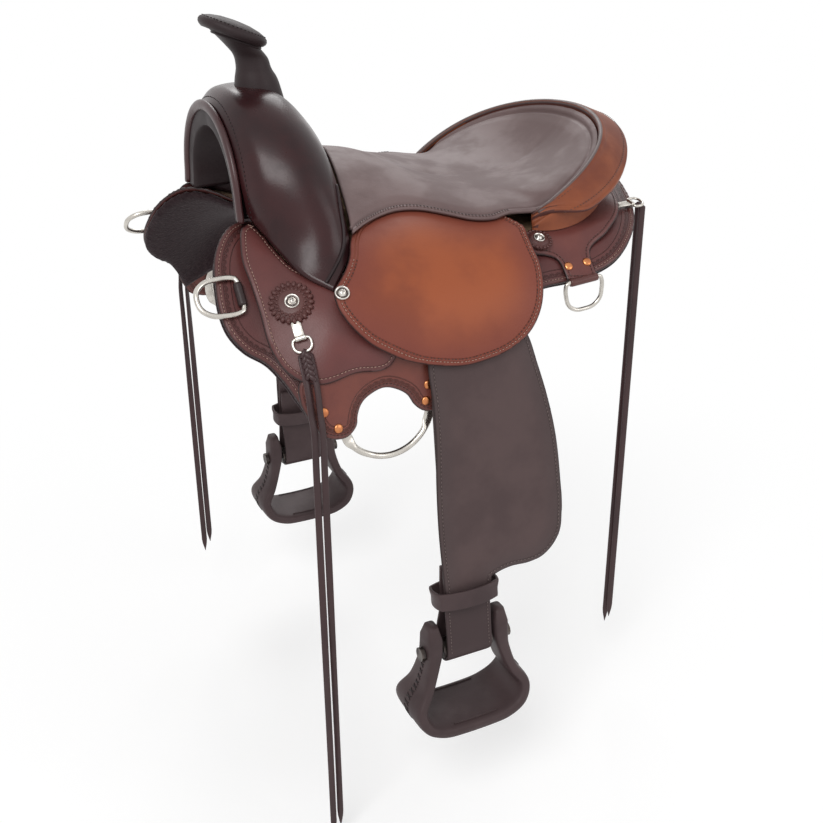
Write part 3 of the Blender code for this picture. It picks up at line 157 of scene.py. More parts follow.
SEAT_JOCKEY = [(-163, 134), (-156, 129), (-146, 121), (-134, 107), (-124, 88), (-110, 70),
               (-92, 58), (-70, 49), (-48, 45), (-22, 50), (2, 63), (26, 76), (50, 80), (66, 79),
               (79, 91), (86, 101), (85, 112), (84, 127), (85, 143), (81, 163), (73, 182),
               (61, 197), (44, 209), (24, 218), (0, 223), (-28, 225), (-58, 220), (-88, 211),
               (-116, 199), (-142, 184), (-158, 166), (-165, 148)]
FRONT_JOCKEY = [(-205, 30), (-214, 16), (-226, 24), (-234, 44), (-238, 66), (-237, 90),
                (-236, 122), (-234, 168), (-226, 189), (-213, 203), (-195, 211), (-160, 212),
                (-110, 210), (-100, 190), (-104, 150), (-128, 112), (-160, 104), (-185, 84),
                (-197, 56)]
REAR_JOCKEY = [(101, 92), (96, 106), (101, 118), (113, 122), (124, 128), (127.5, 146),
               (127.5, 158), (166.5, 166), (172, 128), (204, 111), (230, 92), (252, 62), (272, 20),
               (284, -26), (284, -62)]
FENDER = [(-68, 186), (-70, 224), (-67, 264), (-67, 318), (-69, 359), (-70, 412), (-67, 494),
          (-66, 514), (-6, 514), (-4, 493), (8, 489), (22, 487), (49, 488), (66, 485), (81, 475),
          (92, 459), (96, 433), (95, 387), (90, 331), (80, 282), (68, 240), (58, 208), (46, 186)]


# Small sums

def clamp01(a):
    return min(1.0, max(0.0, a))


def ease(a):
    a = clamp01(a)
    return a * a * (3 - 2 * a)


def mix(a, b, w):
    return a + (b - a) * w


def squared(value, power):
    """A sine or cosine pushed out towards 1, which squares a round section."""
    return math.copysign(abs(value) ** power, value)


def section_values(x):
    f = ease((FRONT_START - x) / FRONT_RUN)
    r = ease((x - REAR_START) / REAR_RUN)
    return {k: MIDDLE[k] + f * (FRONT[k] - MIDDLE[k]) + r * (REAR[k] - MIDDLE[k]) for k in MIDDLE}


def lean(q, t):
    share = clamp01(t / q["bend"]) ** q["power"]
    return math.radians(mix(q["lean_in"], q["lean_out"], share))


side_rows = {}


def side_row(k):
    """Half widths and heights down the side surface at station k."""
    if k not in side_rows:
        q = section_values(k * ROW_STEP)
        s, z = q["top_s"], q["top_z"]
        row = [(s, z)]
        for i in range(ROW_LENGTH):
            a = lean(q, i + 0.5)
            s, z = s + math.cos(a), z - math.sin(a)
            row.append((s, z))
        side_rows[k] = row
    return side_rows[k]


def row_place(k, t, a):
    row = side_row(k)
    if t <= 0:
        s, z = row[0]
        return s + t * math.cos(a), z - t * math.sin(a)
    if t >= ROW_LENGTH:
        s, z = row[-1]
        return s + (t - ROW_LENGTH) * math.cos(a), z - (t - ROW_LENGTH) * math.sin(a)
    i = int(t)
    return mix(row[i][0], row[i + 1][0], t - i), mix(row[i][1], row[i + 1][1], t - i)


def section_point(x, t, n):
    """Half width and height of the side surface at distance t down it, pushed out by n."""
    a = lean(section_values(x), t)
    k = math.floor(x / ROW_STEP)
    w = x / ROW_STEP - k
    near, far = row_place(k, t, a), row_place(k + 1, t, a)
    return (mix(near[0], far[0], w) + n * math.sin(a), mix(near[1], far[1], w) + n * math.cos(a))


def on_side(x, t, n, side):
    s, z = section_point(x, t, n)
    return Vector((x, -side * s, z))


def side_frame(x, t, n, side):
    """Matrix whose X runs to the rear, Y down the side and Z out of it."""
    down = (on_side(x, t + 1, n, side) - on_side(x, t - 1, n, side)).normalized()
    back = (on_side(x + 1, t, n, side) - on_side(x - 1, t, n, side)).normalized()
    out = back.cross(down).normalized() * -side
    down = (down - back * down.dot(back)).normalized()
    m = Matrix((back, down, out)).transposed().to_4x4()
    m.translation = on_side(x, t, n, side)
    return m


def turned(base, first, second):
    out = base.copy()
    a = (base.to_3x3() @ first).normalized()
    b = base.to_3x3() @ second
    b = (b - a * b.dot(a)).normalized()
    out.col[0].xyz, out.col[1].xyz, out.col[2].xyz = a, b, a.cross(b)
    return out


def along(points, u, mirrored=False):
    """The point at share u of a smooth curve; mirrored starts it level across the middle plane."""
    n = len(points) - 1
    i = max(0, min(n - 1, int(u * n)))
    b, c = Vector(points[i]), Vector(points[i + 1])
    if i:
        a = Vector(points[i - 1])
    elif mirrored:
        a = Vector((c.x, -c.y, c.z))
    else:
        a = b * 2 - c
    d = Vector(points[i + 2]) if i + 2 <= n else c * 2 - b
    w = u * n - i
    return 0.5 * (2 * b + (c - a) * w + (2 * a - 5 * b + 4 * c - d) * w * w
                  + (3 * b - a - 3 * c + d) * w ** 3)


def smooth_ring(points, step, corner=62):
    """A closed smooth curve through points, which keeps corners sharper than the angle."""
    pts = [Vector(p) for p in points]
    n = len(pts)
    ways = []
    for i in range(n):
        u, v = pts[i] - pts[i - 1], pts[(i + 1) % n] - pts[i]
        if u.angle(v) > math.radians(corner):
            ways.append((u.normalized(), v.normalized()))
        else:
            d = (u.normalized() * v.length + v.normalized() * u.length).normalized()
            ways.append((d, d))
    out = []
    for i in range(n):
        b, c = pts[i], pts[(i + 1) % n]
        span = (c - b).length
        leave, arrive = ways[i][1] * span, ways[(i + 1) % n][0] * span
        count = max(1, round(span / step))
        for k in range(count):
            w = k / count
            w2, w3 = w * w, w ** 3
            out.append(b * (2 * w3 - 3 * w2 + 1) + leave * (w3 - 2 * w2 + w)
                       + c * (3 * w2 - 2 * w3) + arrive * (w3 - w2))
    return out


def drawn_in(ring, by):
    """A closed flat outline moved inwards."""
    n = len(ring)
    area = sum(ring[i].cross(ring[(i + 1) % n]) for i in range(n))
    turn = -1 if area > 0 else 1
    out = []
    for i in range(n):
        d = (ring[(i + 1) % n] - ring[i - 1]).normalized()
        out.append(ring[i] + Vector((d.y, -d.x)) * by * turn)
    return out


# Finishes

def calc(tree, operation, *values):
    """The output of a math node on sockets or plain numbers."""
    n = tree.nodes.new("ShaderNodeMath")
    n.operation = operation
    for socket, value in zip(n.inputs, values):
        if isinstance(value, (int, float)):
            socket.default_value = value
        else:
            tree.links.new(value, socket)
    return n.outputs[0]


def spread(tree, value, low, high, to_low=0.0, to_high=1.0):
    n = tree.nodes.new("ShaderNodeMapRange")
    n.interpolation_type = "SMOOTHSTEP"
    tree.links.new(value, n.inputs["Value"])
    for label, number in (("From Min", low), ("From Max", high), ("To Min", to_low),
                          ("To Max", to_high)):
        if isinstance(number, (int, float)):
            n.inputs[label].default_value = number
        else:
            tree.links.new(number, n.inputs[label])
    return n.outputs["Result"]


def blend(tree, share, one, other):
    """Colour mixed from one to the other."""
    n = tree.nodes.new("ShaderNodeMix")
    n.data_type = "RGBA"
    tree.links.new(share, n.inputs["Factor"])
    for socket, value in ((n.inputs[6], one), (n.inputs[7], other)):
        if isinstance(value, tuple):
            socket.default_value = (*value, 1)
        else:
            tree.links.new(value, socket)
    return n.outputs[2]


def effect(name, inputs, outputs):
    tree = bpy.data.node_groups.new(name, "ShaderNodeTree")
    for label, value in inputs:
        socket = tree.interface.new_socket(label, in_out="INPUT", socket_type="NodeSocketFloat")
        socket.default_value = value
    for label in outputs:
        tree.interface.new_socket(label, in_out="OUTPUT", socket_type="NodeSocketFloat")
    return tree, tree.nodes.new("NodeGroupInput").outputs, tree.nodes.new("NodeGroupOutput").inputs


def hide_grain():
    """Pores, fine creases and slow clouds of colour in a hide."""
    tree, given, out = effect("hide_grain", (("Pores", 650), ("Clouds", 11)), ("Height", "Cloud"))
    place = tree.nodes.new("ShaderNodeTexCoord").outputs["Object"]
    pore = tree.nodes.new("ShaderNodeTexVoronoi")
    pore.feature = "SMOOTH_F1"
    crease = tree.nodes.new("ShaderNodeTexNoise")
    crease.inputs["Detail"].default_value = 3
    cloud = tree.nodes.new("ShaderNodeTexNoise")
    cloud.inputs["Detail"].default_value = 4
    cloud.inputs["Roughness"].default_value = 0.6
    for n in (pore, crease, cloud):
        tree.links.new(place, n.inputs["Vector"])
    tree.links.new(given["Pores"], pore.inputs["Scale"])
    tree.links.new(calc(tree, "MULTIPLY", given["Pores"], 0.28), crease.inputs["Scale"])
    tree.links.new(given["Clouds"], cloud.inputs["Scale"])
    height = calc(tree, "ADD", calc(tree, "MULTIPLY", pore.outputs["Distance"], 0.9),
                  calc(tree, "MULTIPLY", crease.outputs["Fac"], 0.6))
    tree.links.new(height, out["Height"])
    tree.links.new(spread(tree, cloud.outputs["Fac"], 0.36, 0.66), out["Cloud"])
    return tree


def piece_value(tree, name):
    n = tree.nodes.new("ShaderNodeAttribute")
    n.attribute_name = name
    return n.outputs["Fac"]


def edge_dye():
    """How near a point is to the cut edge of its leather."""
    tree, given, out = effect("edge_dye", (("Width", 4),), ("Mask",))
    tree.links.new(spread(tree, piece_value(tree, "rim"), 0.0, given["Width"], 1.0, 0.0),
                   out["Mask"])
    return tree


def sewn_line():
    """The pressed line that a row of stitches lies in, at a distance from the edge."""
    tree, given, out = effect("sewn_line", (("Inset", 5), ("Half Width", 1.1)), ("Mask",))
    off = calc(tree, "ABSOLUTE", calc(tree, "SUBTRACT", piece_value(tree, "rim"), given["Inset"]))
    tree.links.new(spread(tree, off, 0.0, given["Half Width"], 1.0, 0.0), out["Mask"])
    return tree


def stamped_border():
    """A row of stamped scallops between two creased lines along the edge."""
    tree, given, out = effect("stamped_border", (("Near", 6), ("Far", 13), ("Pitch", 7)),
                              ("Mask",))
    rim, run = piece_value(tree, "rim"), piece_value(tree, "run")
    across = calc(tree, "SUBTRACT", rim, given["Near"])
    phase = calc(tree, "SUBTRACT", calc(tree, "FRACT", calc(tree, "DIVIDE", run, given["Pitch"])),
                 0.5)
    side = calc(tree, "MULTIPLY", phase, given["Pitch"])
    reach = calc(tree, "SQRT", calc(tree, "ADD", calc(tree, "MULTIPLY", side, side),
                                    calc(tree, "MULTIPLY", across, across)))
    lines = None
    for share in (0.86, 0.5):
        off = calc(tree, "ABSOLUTE", calc(tree, "SUBTRACT", reach,
                                          calc(tree, "MULTIPLY", given["Pitch"], share * 0.58)))
        line = spread(tree, off, 0.25, 0.9, 1.0, 0.0)
        lines = line if lines is None else calc(tree, "MAXIMUM", lines, line)
    inside = calc(tree, "MULTIPLY", spread(tree, across, 0.0, 0.4),
                  spread(tree, calc(tree, "SUBTRACT", given["Far"], rim), 0.0, 0.4))
    arcs = calc(tree, "MULTIPLY", lines, inside)
    for edge in ("Near", "Far"):
        off = calc(tree, "ABSOLUTE", calc(tree, "SUBTRACT", rim, given[edge]))
        arcs = calc(tree, "MAXIMUM", arcs, spread(tree, off, 0.2, 0.8, 1.0, 0.0))
    tree.links.new(arcs, out["Mask"])
    return tree


EFFECTS = {"hide_grain": hide_grain(), "edge_dye": edge_dye(), "sewn_line": sewn_line(),
           "stamped_border": stamped_border()}


def placed(tree, name, **values):
    n = tree.nodes.new("ShaderNodeGroup")
    n.node_tree = EFFECTS[name]
    for label, value in values.items():
        n.inputs[label.replace("_", " ")].default_value = value
    return n.outputs


def bumped(tree, height, depth, under=None):
    n = tree.nodes.new("ShaderNodeBump")
    n.inputs["Distance"].default_value = depth * MM
    tree.links.new(height, n.inputs["Height"])
    if under:
        tree.links.new(under, n.inputs["Normal"])
    return n.outputs["Normal"]


def new_material(name, rough, metal=0.0, gloss=0.5, coat=0.0):
    mat = bpy.data.materials.new(name)
    mat.use_nodes = True
    shader = mat.node_tree.nodes["Principled BSDF"]
    shader.inputs["Roughness"].default_value = rough
    shader.inputs["Metallic"].default_value = metal
    shader.inputs["Specular IOR Level"].default_value = gloss
    shader.inputs["Coat Weight"].default_value = coat
    shader.inputs["Coat Roughness"].default_value = 0.24
    return mat, mat.node_tree, shader


def leather(name, colour, cloud, rough, coat=0.0, gloss=0.3, pores=650, depth=0.1, clouds=11,
            dye=None, dye_width=5, glow=None, seam=None, border=None):
    """Dyed leather. dye is the colour of its burnished edge and glow the wide darkening towards
    it. seam holds the insets of its sewn lines, and border the two lines and the pitch of its
    stamped border."""
    mat, tree, shader = new_material(name, rough, 0.0, gloss, coat)
    grain = placed(tree, "hide_grain", Pores=pores, Clouds=clouds)
    tone = blend(tree, grain["Cloud"], colour, cloud)
    normal = bumped(tree, grain["Height"], depth)
    if glow:
        wide = placed(tree, "edge_dye", Width=glow[1])["Mask"]
        tone = blend(tree, calc(tree, "MULTIPLY", wide, 0.85), tone, glow[0])
    if border:
        stamped = placed(tree, "stamped_border", Near=border[0], Far=border[1],
                         Pitch=border[2])["Mask"]
        deep = tuple(c * 0.42 for c in colour)
        tone = blend(tree, calc(tree, "MULTIPLY", stamped, 0.75), tone, deep)
        normal = bumped(tree, calc(tree, "SUBTRACT", 1.0, stamped), 0.7, normal)
    for inset in seam or ():
        line = placed(tree, "sewn_line", Inset=inset, Half_Width=1.3)["Mask"]
        tone = blend(tree, calc(tree, "MULTIPLY", line, 0.5), tone, tuple(c * 0.5 for c in colour))
        normal = bumped(tree, calc(tree, "SUBTRACT", 1.0, line), 0.5, normal)
    if dye:
        edge = placed(tree, "edge_dye", Width=dye_width)["Mask"]
        tone = blend(tree, edge, tone, dye)
    tree.links.new(tone, shader.inputs["Base Color"])
    tree.links.new(spread(tree, grain["Cloud"], 0.0, 1.0, rough - 0.06, rough + 0.07),
                   shader.inputs["Roughness"])
    tree.links.new(normal, shader.inputs["Normal"])
    return mat


def metal(name, colour, worn, rough, scratches=260):
    mat, tree, shader = new_material(name, rough, 1.0)
    grain = placed(tree, "hide_grain", Pores=scratches, Clouds=90)
    tree.links.new(blend(tree, grain["Cloud"], colour, worn), shader.inputs["Base Color"])
    tree.links.new(spread(tree, grain["Cloud"], 0.0, 1.0, rough - 0.05, rough + 0.12),
                   shader.inputs["Roughness"])
    tree.links.new(bumped(tree, grain["Height"], 0.03), shader.inputs["Normal"])
    return mat


def wood(name, colour, grain_colour):
    mat, tree, shader = new_material(name, 0.6, gloss=0.3)
    place = tree.nodes.new("ShaderNodeTexCoord").outputs["Object"]
    stretch = tree.nodes.new("ShaderNodeMapping")
    stretch.inputs["Scale"].default_value = (18, 160, 160)
    tree.links.new(place, stretch.inputs["Vector"])
    rings = tree.nodes.new("ShaderNodeTexNoise")
    rings.inputs["Scale"].default_value = 1.0
    rings.inputs["Detail"].default_value = 5
    tree.links.new(stretch.outputs["Vector"], rings.inputs["Vector"])
    share = spread(tree, rings.outputs["Fac"], 0.35, 0.65)
    tree.links.new(blend(tree, share, colour, grain_colour), shader.inputs["Base Color"])
    tree.links.new(bumped(tree, rings.outputs["Fac"], 0.3), shader.inputs["Normal"])
    return mat


def felt(name, colour, lint):
    mat, tree, shader = new_material(name, 0.95, gloss=0.1)
    shader.inputs["Sheen Weight"].default_value = 0.1
    grain = placed(tree, "hide_grain", Pores=380, Clouds=240)
    tree.links.new(blend(tree, grain["Cloud"], colour, lint), shader.inputs["Base Color"])
    tree.links.new(bumped(tree, grain["Height"], 0.9), shader.inputs["Normal"])
    return mat


def thread(name, colour):
    mat, tree, shader = new_material(name, 0.55, gloss=0.3)
    grain = placed(tree, "hide_grain", Pores=1500, Clouds=700)
    deep = tuple(c * 0.6 for c in colour)
    tree.links.new(blend(tree, grain["Cloud"], colour, deep), shader.inputs["Base Color"])
    tree.links.new(bumped(tree, grain["Height"], 0.1), shader.inputs["Normal"])
    return mat


DARK_EDGE = (0.022, 0.011, 0.011)
FINISH = {
    "jockey": leather("jockey_leather", (0.31, 0.082, 0.034), (0.22, 0.058, 0.03), 0.52,
                      gloss=0.2, dye=DARK_EDGE, dye_width=2.2, clouds=9,
                      glow=((0.17, 0.046, 0.035), 60), seam=SEAM_IN["jockey"]),
    "front": leather("front_jockey_leather", (0.125, 0.036, 0.033), (0.098, 0.03, 0.028), 0.42,
                     coat=0.1, dye=DARK_EDGE, dye_width=2.2, glow=((0.1, 0.032, 0.03), 20),
                     seam=SEAM_IN["front"]),
    "skirt": leather("skirt_leather", (0.115, 0.033, 0.03), (0.088, 0.027, 0.026), 0.42,
                     coat=0.1, dye=DARK_EDGE, dye_width=2.2, glow=((0.085, 0.028, 0.026), 24),
                     seam=SEAM_IN["skirt"], border=(8.5, 17, 8.5)),
    "rig": leather("rigging_leather", (0.165, 0.045, 0.031), (0.12, 0.034, 0.027), 0.42,
                   coat=0.1, dye=DARK_EDGE, dye_width=2.2, glow=((0.1, 0.03, 0.026), 16),
                   seam=SEAM_IN["rig"], border=(7, 13, 6.5)),
    "rear": leather("rear_jockey_leather", (0.15, 0.044, 0.036), (0.112, 0.034, 0.031), 0.42,
                    coat=0.1, dye=DARK_EDGE, dye_width=2.2, glow=((0.11, 0.035, 0.032), 22),
                    seam=SEAM_IN["rear"]),
    "cover": leather("swell_leather", (0.036, 0.01, 0.011), (0.018, 0.006, 0.007), 0.3,
                     coat=0.12, gloss=0.22, pores=520, depth=0.05),
    "roll": leather("gullet_roll_leather", (0.05, 0.016, 0.017), (0.036, 0.013, 0.014), 0.36,
                    coat=0.15, gloss=0.35, pores=520, depth=0.05),
    "horn": leather("horn_leather", (0.026, 0.015, 0.016), (0.019, 0.011, 0.012), 0.5,
                    gloss=0.25, pores=600, depth=0.1),
    "lining": leather("gullet_lining_leather", (0.018, 0.009, 0.01), (0.014, 0.007, 0.008), 0.5,
                      gloss=0.25),
    "seat": leather("seat_leather", (0.158, 0.107, 0.104), (0.125, 0.083, 0.081), 0.5,
                    gloss=0.25, pores=900, depth=0.12, clouds=14),
    "seat_edge": leather("seat_binding_leather", (0.12, 0.085, 0.08), (0.1, 0.07, 0.068), 0.42,
                         gloss=0.35, pores=900, depth=0.12),
    "cantle": leather("cantle_leather", (0.25, 0.073, 0.032), (0.16, 0.046, 0.027), 0.5,
                      gloss=0.2, clouds=9),
    # A darker copy of the cantle leather for the roll's downward faces: painted shade.
    "cantle_back": leather("cantle_shaded_underside_leather", (0.1, 0.036, 0.03), (0.08, 0.03, 0.026), 0.44,
                           coat=0.05),
    "fender": leather("fender_leather", (0.084, 0.055, 0.054), (0.068, 0.045, 0.045), 0.58,
                      gloss=0.2, pores=1100, depth=0.12, dye=(0.03, 0.02, 0.02), dye_width=2.4,
                      glow=((0.068, 0.048, 0.048), 30), seam=SEAM_IN["fender"]),
    "leg": leather("stirrup_leather_hide", (0.062, 0.04, 0.041), (0.048, 0.031, 0.032), 0.52,
                   gloss=0.22, pores=1000, depth=0.14),
    "rosette": leather("rosette_leather", (0.095, 0.032, 0.028), (0.075, 0.026, 0.024), 0.42,
                       coat=0.1, depth=0.06),
    "thong": leather("string_leather", (0.045, 0.02, 0.021), (0.034, 0.016, 0.017), 0.42,
                     gloss=0.35, pores=900),
    "felt": felt("skirt_felt", (0.02, 0.011, 0.013), (0.03, 0.018, 0.02)),
    "wood": wood("tree_rawhide", (0.2, 0.13, 0.08), (0.13, 0.085, 0.05)),
    "steel": metal("stainless_steel", (0.62, 0.59, 0.54), (0.5, 0.47, 0.43), 0.24),
    "silver": metal("concho_silver", (0.72, 0.69, 0.64), (0.45, 0.42, 0.39), 0.22, 420),
    "tarnish": metal("concho_ground", (0.12, 0.1, 0.09), (0.06, 0.05, 0.05), 0.4, 420),
    "copper": metal("rivet_copper", (0.62, 0.25, 0.1), (0.45, 0.16, 0.07), 0.3, 420),
    "pale_thread": thread("pale_thread", (0.42, 0.26, 0.21)),
    "brown_thread": thread("brown_thread", (0.09, 0.045, 0.04)),
    "dark_thread": thread("dark_thread", (0.02, 0.013, 0.013)),
    "leg_thread": thread("leg_thread", (0.2, 0.15, 0.14)),
}


# Makers

def fitted(name, bm, finish, node, replaces=(), extra=()):
    """Turns the mesh to metres, links it as a piece and lets it ride with its node's body."""
    bmesh.ops.scale(bm, verts=bm.verts, vec=(MM, MM, MM))
    mesh = bpy.data.meshes.new(name)
    bm.to_mesh(mesh)
    bm.free()
    mesh.shade_smooth()
    for f in (finish, *extra):
        mesh.materials.append(FINISH[f])
    obj = bpy.data.objects.new(name, mesh)
    bpy.context.scene.collection.objects.link(obj)
    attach(obj, BODY_OF[node])
    if replaces:
        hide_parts(*replaces)
    return obj


def rim_gauge(ring):
    """A function giving a place's distance from the outline, and how far round it that is."""
    n = len(ring)
    tree = KDTree(n)
    runs, total = [], 0.0
    for i, p in enumerate(ring):
        tree.insert((p.x, p.y, 0), i)
        runs.append(total)
        total += (ring[(i + 1) % n] - p).length
    tree.balance()

    def gauge(p):
        k = tree.find((p.x, p.y, 0))[1]
        best = (1e9, 0)
        for i in (k - 1, k):
            a, b = ring[i % n], ring[(i + 1) % n]
            d = b - a
            w = clamp01((p - a).dot(d) / max(d.length_squared, 1e-9))
            gap = (p - a - d * w).length
            if gap < best[0]:
                best = (gap, runs[i % n] + w * d.length)
        return best

    return gauge


def leather_panel(name, outline, low, thick, side, finish, node, cell):
    """A leather cut to its outline, with rounded edges, laid over the side surface from low up."""
    ring = smooth_ring(outline, PANEL_STEP)
    edge = thick * EDGE_ROUND
    bm = bmesh.new()
    rim = bm.verts.layers.float.new("rim")
    run = bm.verts.layers.float.new("run")
    face = bm.faces.new([bm.verts.new((p.x, p.y, 0)) for p in ring])
    for inset in (edge * FIRST_INSET, edge * (1 - FIRST_INSET)):
        bmesh.ops.inset_region(bm, faces=[face], thickness=inset, use_even_offset=True)
    for axis in (0, 1):
        low_end, high_end = min(p[axis] for p in ring), max(p[axis] for p in ring)
        normal = (1, 0, 0) if axis == 0 else (0, 1, 0)
        for k in range(math.ceil(low_end / cell), math.ceil(high_end / cell)):
            place = Vector(normal) * (k * cell + OFF_CORNER)
            bmesh.ops.bisect_plane(bm, geom=bm.verts[:] + bm.edges[:] + bm.faces[:], dist=0.001,
                                   plane_co=place, plane_no=normal)
    bmesh.ops.triangulate(bm, faces=bm.faces)
    gauge = rim_gauge(ring)
    for v in bm.verts:
        v[rim], v[run] = gauge(v.co.xy)
    lifted = bmesh.ops.extrude_face_region(bm, geom=bm.faces[:])["geom"]
    raised = {v for v in lifted if isinstance(v, bmesh.types.BMVert)}
    for v in bm.verts:
        x, t = v.co.x, v.co.y
        near = edge - min(edge, v[rim])
        drop = edge - math.sqrt(max(0.0, edge * edge - near * near))
        base = low(x, t)
        if v in raised:
            n = base + thick - drop
        else:
            n = base + drop
        v.co = on_side(x, t, n, side)
    bmesh.ops.recalc_face_normals(bm, faces=bm.faces)
    fitted(name, bm, finish, node, (node,))


def surface(bm, rows, cols, at):
    """A sheet of rows and columns whose places come from at(u, v), both from 0 to 1."""
    made = bmesh.ops.create_grid(bm, x_segments=rows, y_segments=cols, size=1)["verts"]
    for v in made:
        v.co = at(clamp01((v.co.x + 1) / 2), clamp01((v.co.y + 1) / 2))
    return made


def closed(bm):
    bmesh.ops.remove_doubles(bm, verts=bm.verts, dist=0.02)
    bmesh.ops.dissolve_degenerate(bm, edges=bm.edges, dist=0.005)
    open_edges = [e for e in bm.edges if len(e.link_faces) == 1]
    if open_edges:
        bmesh.ops.holes_fill(bm, edges=open_edges)
    bmesh.ops.recalc_face_normals(bm, faces=bm.faces)


def carried(points, loop):
    """Tangent and two cross directions at each point of a path, without twist."""
    pts = [Vector(p) for p in points]
    n = len(pts)
    frames, up = [], None
    for i in range(n):
        ahead = pts[(i + 1) % n] if loop else pts[min(i + 1, n - 1)]
        d = (ahead - (pts[i - 1] if loop or i else pts[0])).normalized()
        up = d.orthogonal() if up is None else up
        up = (up - d * up.dot(d)).normalized()
        frames.append((pts[i], d, up, d.cross(up)))
    return frames


def add_rod(bm, points, radius, sides=12, loop=False):
    """A round rod along points; radius is a number, or a function of the share of the way."""
    frames = carried(points, loop)
    n = len(frames)

    def at(u, v):
        i = round(u * (n if loop else n - 1)) % n
        p, _, a, b = frames[i]
        r = radius(i / (n - 1)) if callable(radius) else radius
        angle = math.tau * v
        return p + (a * math.cos(angle) + b * math.sin(angle)) * r

    surface(bm, n if loop else n - 1, sides, at)


def rod_piece(name, points, radius, finish, node, replaces=(), sides=12, loop=False):
    bm = bmesh.new()
    add_rod(bm, points, radius, sides, loop)
    closed(bm)
    return fitted(name, bm, finish, node, replaces)


def add_stitch(bm, p, way, out, length, width, lift=0.25):
    """One stitch, lying along way on a face that looks along out."""
    cross = out.cross(way).normalized()
    m = Matrix((way * length / 2, cross * width / 2, out * width * 0.42)).transposed().to_4x4()
    m.translation = p + out * lift
    bmesh.ops.create_uvsphere(bm, u_segments=6, v_segments=4, radius=1, matrix=m)


def stitched(name, places, finish, node, pitch=4.4, length=3.0, width=1.1, lift=0.25):
    """A row of stitches along places, close together: (point, out direction), or None in a gap."""
    bm = bmesh.new()
    run = 0.0
    for here, ahead in zip(places, places[1:]):
        if here is None or ahead is None:
            run = 0.0
            continue
        (a, out), b = here, ahead[0]
        run += (b - a).length
        if run >= pitch:
            run -= pitch
            add_stitch(bm, b, (b - a).normalized(), out, length, width, lift)
    fitted(name, bm, finish, node)


def face_place(x, t, n, side):
    """A point over the side surface, and the direction out of it there."""
    return on_side(x, t, n, side), side_frame(x, t, 0, side).col[2].xyz.normalized()


def panel_seam(name, outline, inset, height, side, keep, finish, node, **sizes):
    """Stitches at an inset from a panel's edge, where keep(x, t) says that it shows."""
    ring = drawn_in(smooth_ring(outline, 1.0), inset)
    places = []
    for p in ring + ring[:1]:
        shown = keep(p.x, p.y)
        places.append(face_place(p.x, p.y, height(p.x, p.y), side) if shown else None)
    stitched(name, places, finish, node, **sizes)


def spun(bm, profile, m, steps=32):
    """A turned form: profile is (radius, height) from the outside in, on the axis of m."""
    verts = [bm.verts.new((r, 0, h)) for r, h in profile]
    edges = [bm.edges.new(pair) for pair in zip(verts, verts[1:])]
    before = set(bm.verts) - set(verts)
    bmesh.ops.spin(bm, geom=verts + edges, cent=(0, 0, 0), axis=(0, 0, 1), angle=math.tau,
                   steps=steps, use_merge=True)
    made = [v for v in bm.verts if v not in before]
    bmesh.ops.remove_doubles(bm, verts=made, dist=0.005)
    made = [v for v in bm.verts if v not in before]
    bmesh.ops.transform(bm, matrix=m, verts=made)
    return made


# Heights of the layers

def level(n):
    return lambda x, t: n


def over(height, extra):
    return lambda x, t: height(x, t) + extra


def seat_jockey_low(x, t):
    top = SEAT_N - SEAT_EDGE_T - SEAM_GAP - JOCKEY_T
    return mix(top, FENDER_N + FENDER_T + JOCKEY_LIFT, ease((t - 50) / 160))


def front_jockey_low(x, t):
    return mix(TIP_TOP + GAP, PLATE_T + RIG_T + 3 * GAP, ease((t - 130) / 70))


def rear_jockey_low(x, t):
    on_bar = (1 - ease((t - 94) / 34)) * (1 - ease((x - 232) / 40))
    return mix(GAP, TIP_TOP + GAP, on_bar)


# Camera, light and floor

def set_up_camera():
    """The camera of the photograph, in the saddle's own frame."""
    azimuth, elevation, roll = (math.radians(a) for a in CAMERA_TURN)
    back = Vector((-math.cos(azimuth) * math.cos(elevation),
                   -math.sin(azimuth) * math.cos(elevation), math.sin(elevation)))
    right = Vector((math.sin(azimuth), -math.cos(azimuth), 0))
    up = back.cross(right)
    level_right = right * math.cos(roll) + up * math.sin(roll)
    level_up = up * math.cos(roll) - right * math.sin(roll)
    data = bpy.data.cameras.new("photo_camera")
    data.sensor_width = SENSOR
    data.lens = FOCAL_PX * SENSOR / PHOTO_PX
    data.clip_start, data.clip_end = 0.05, 50
    camera = bpy.data.objects.new("photo_camera", data)
    m = Matrix((level_right, level_up, back)).transposed().to_4x4()
    m.translation = Vector(CAMERA_AT) * MM
    camera.matrix_world = m
    bpy.context.scene.collection.objects.link(camera)
    bpy.context.scene.camera = camera


def set_up_light():
    scene = bpy.context.scene
    scene.view_settings.view_transform = "Standard"
    world = bpy.data.worlds.new("studio")
    world.use_nodes = True
    scene.world = world
    tree = world.node_tree
    background = tree.nodes["Background"]
    path = tree.nodes.new("ShaderNodeLightPath")
    seen = calc(tree, "MAXIMUM", path.outputs["Is Camera Ray"],
                calc(tree, "MAXIMUM", path.outputs["Is Glossy Ray"],
                     path.outputs["Is Transmission Ray"]))
    tree.links.new(blend(tree, seen, (0.5, 0.5, 0.5), (1, 1, 1)), background.inputs["Color"])
    for name, place, aim, size, power in (
            ("key_lamp", (-1.7, -1.9, 2.1), (-0.05, -0.1, -0.1), 1.5, 52),
            ("fill_lamp", (1.9, -2.2, 0.9), (0, -0.1, -0.2), 1.6, 16),
            ("back_lamp", (0.9, 2.2, 1.8), (0, 0.1, -0.1), 1.5, 24)):
        data = bpy.data.lights.new(name, "AREA")
        data.size = size
        data.energy = power
        lamp = bpy.data.objects.new(name, data)
        lamp.location = place
        lamp.rotation_mode = "QUATERNION"
        lamp.rotation_quaternion = (Vector(aim) - Vector(place)).to_track_quat("-Z", "Y")
        scene.collection.objects.link(lamp)


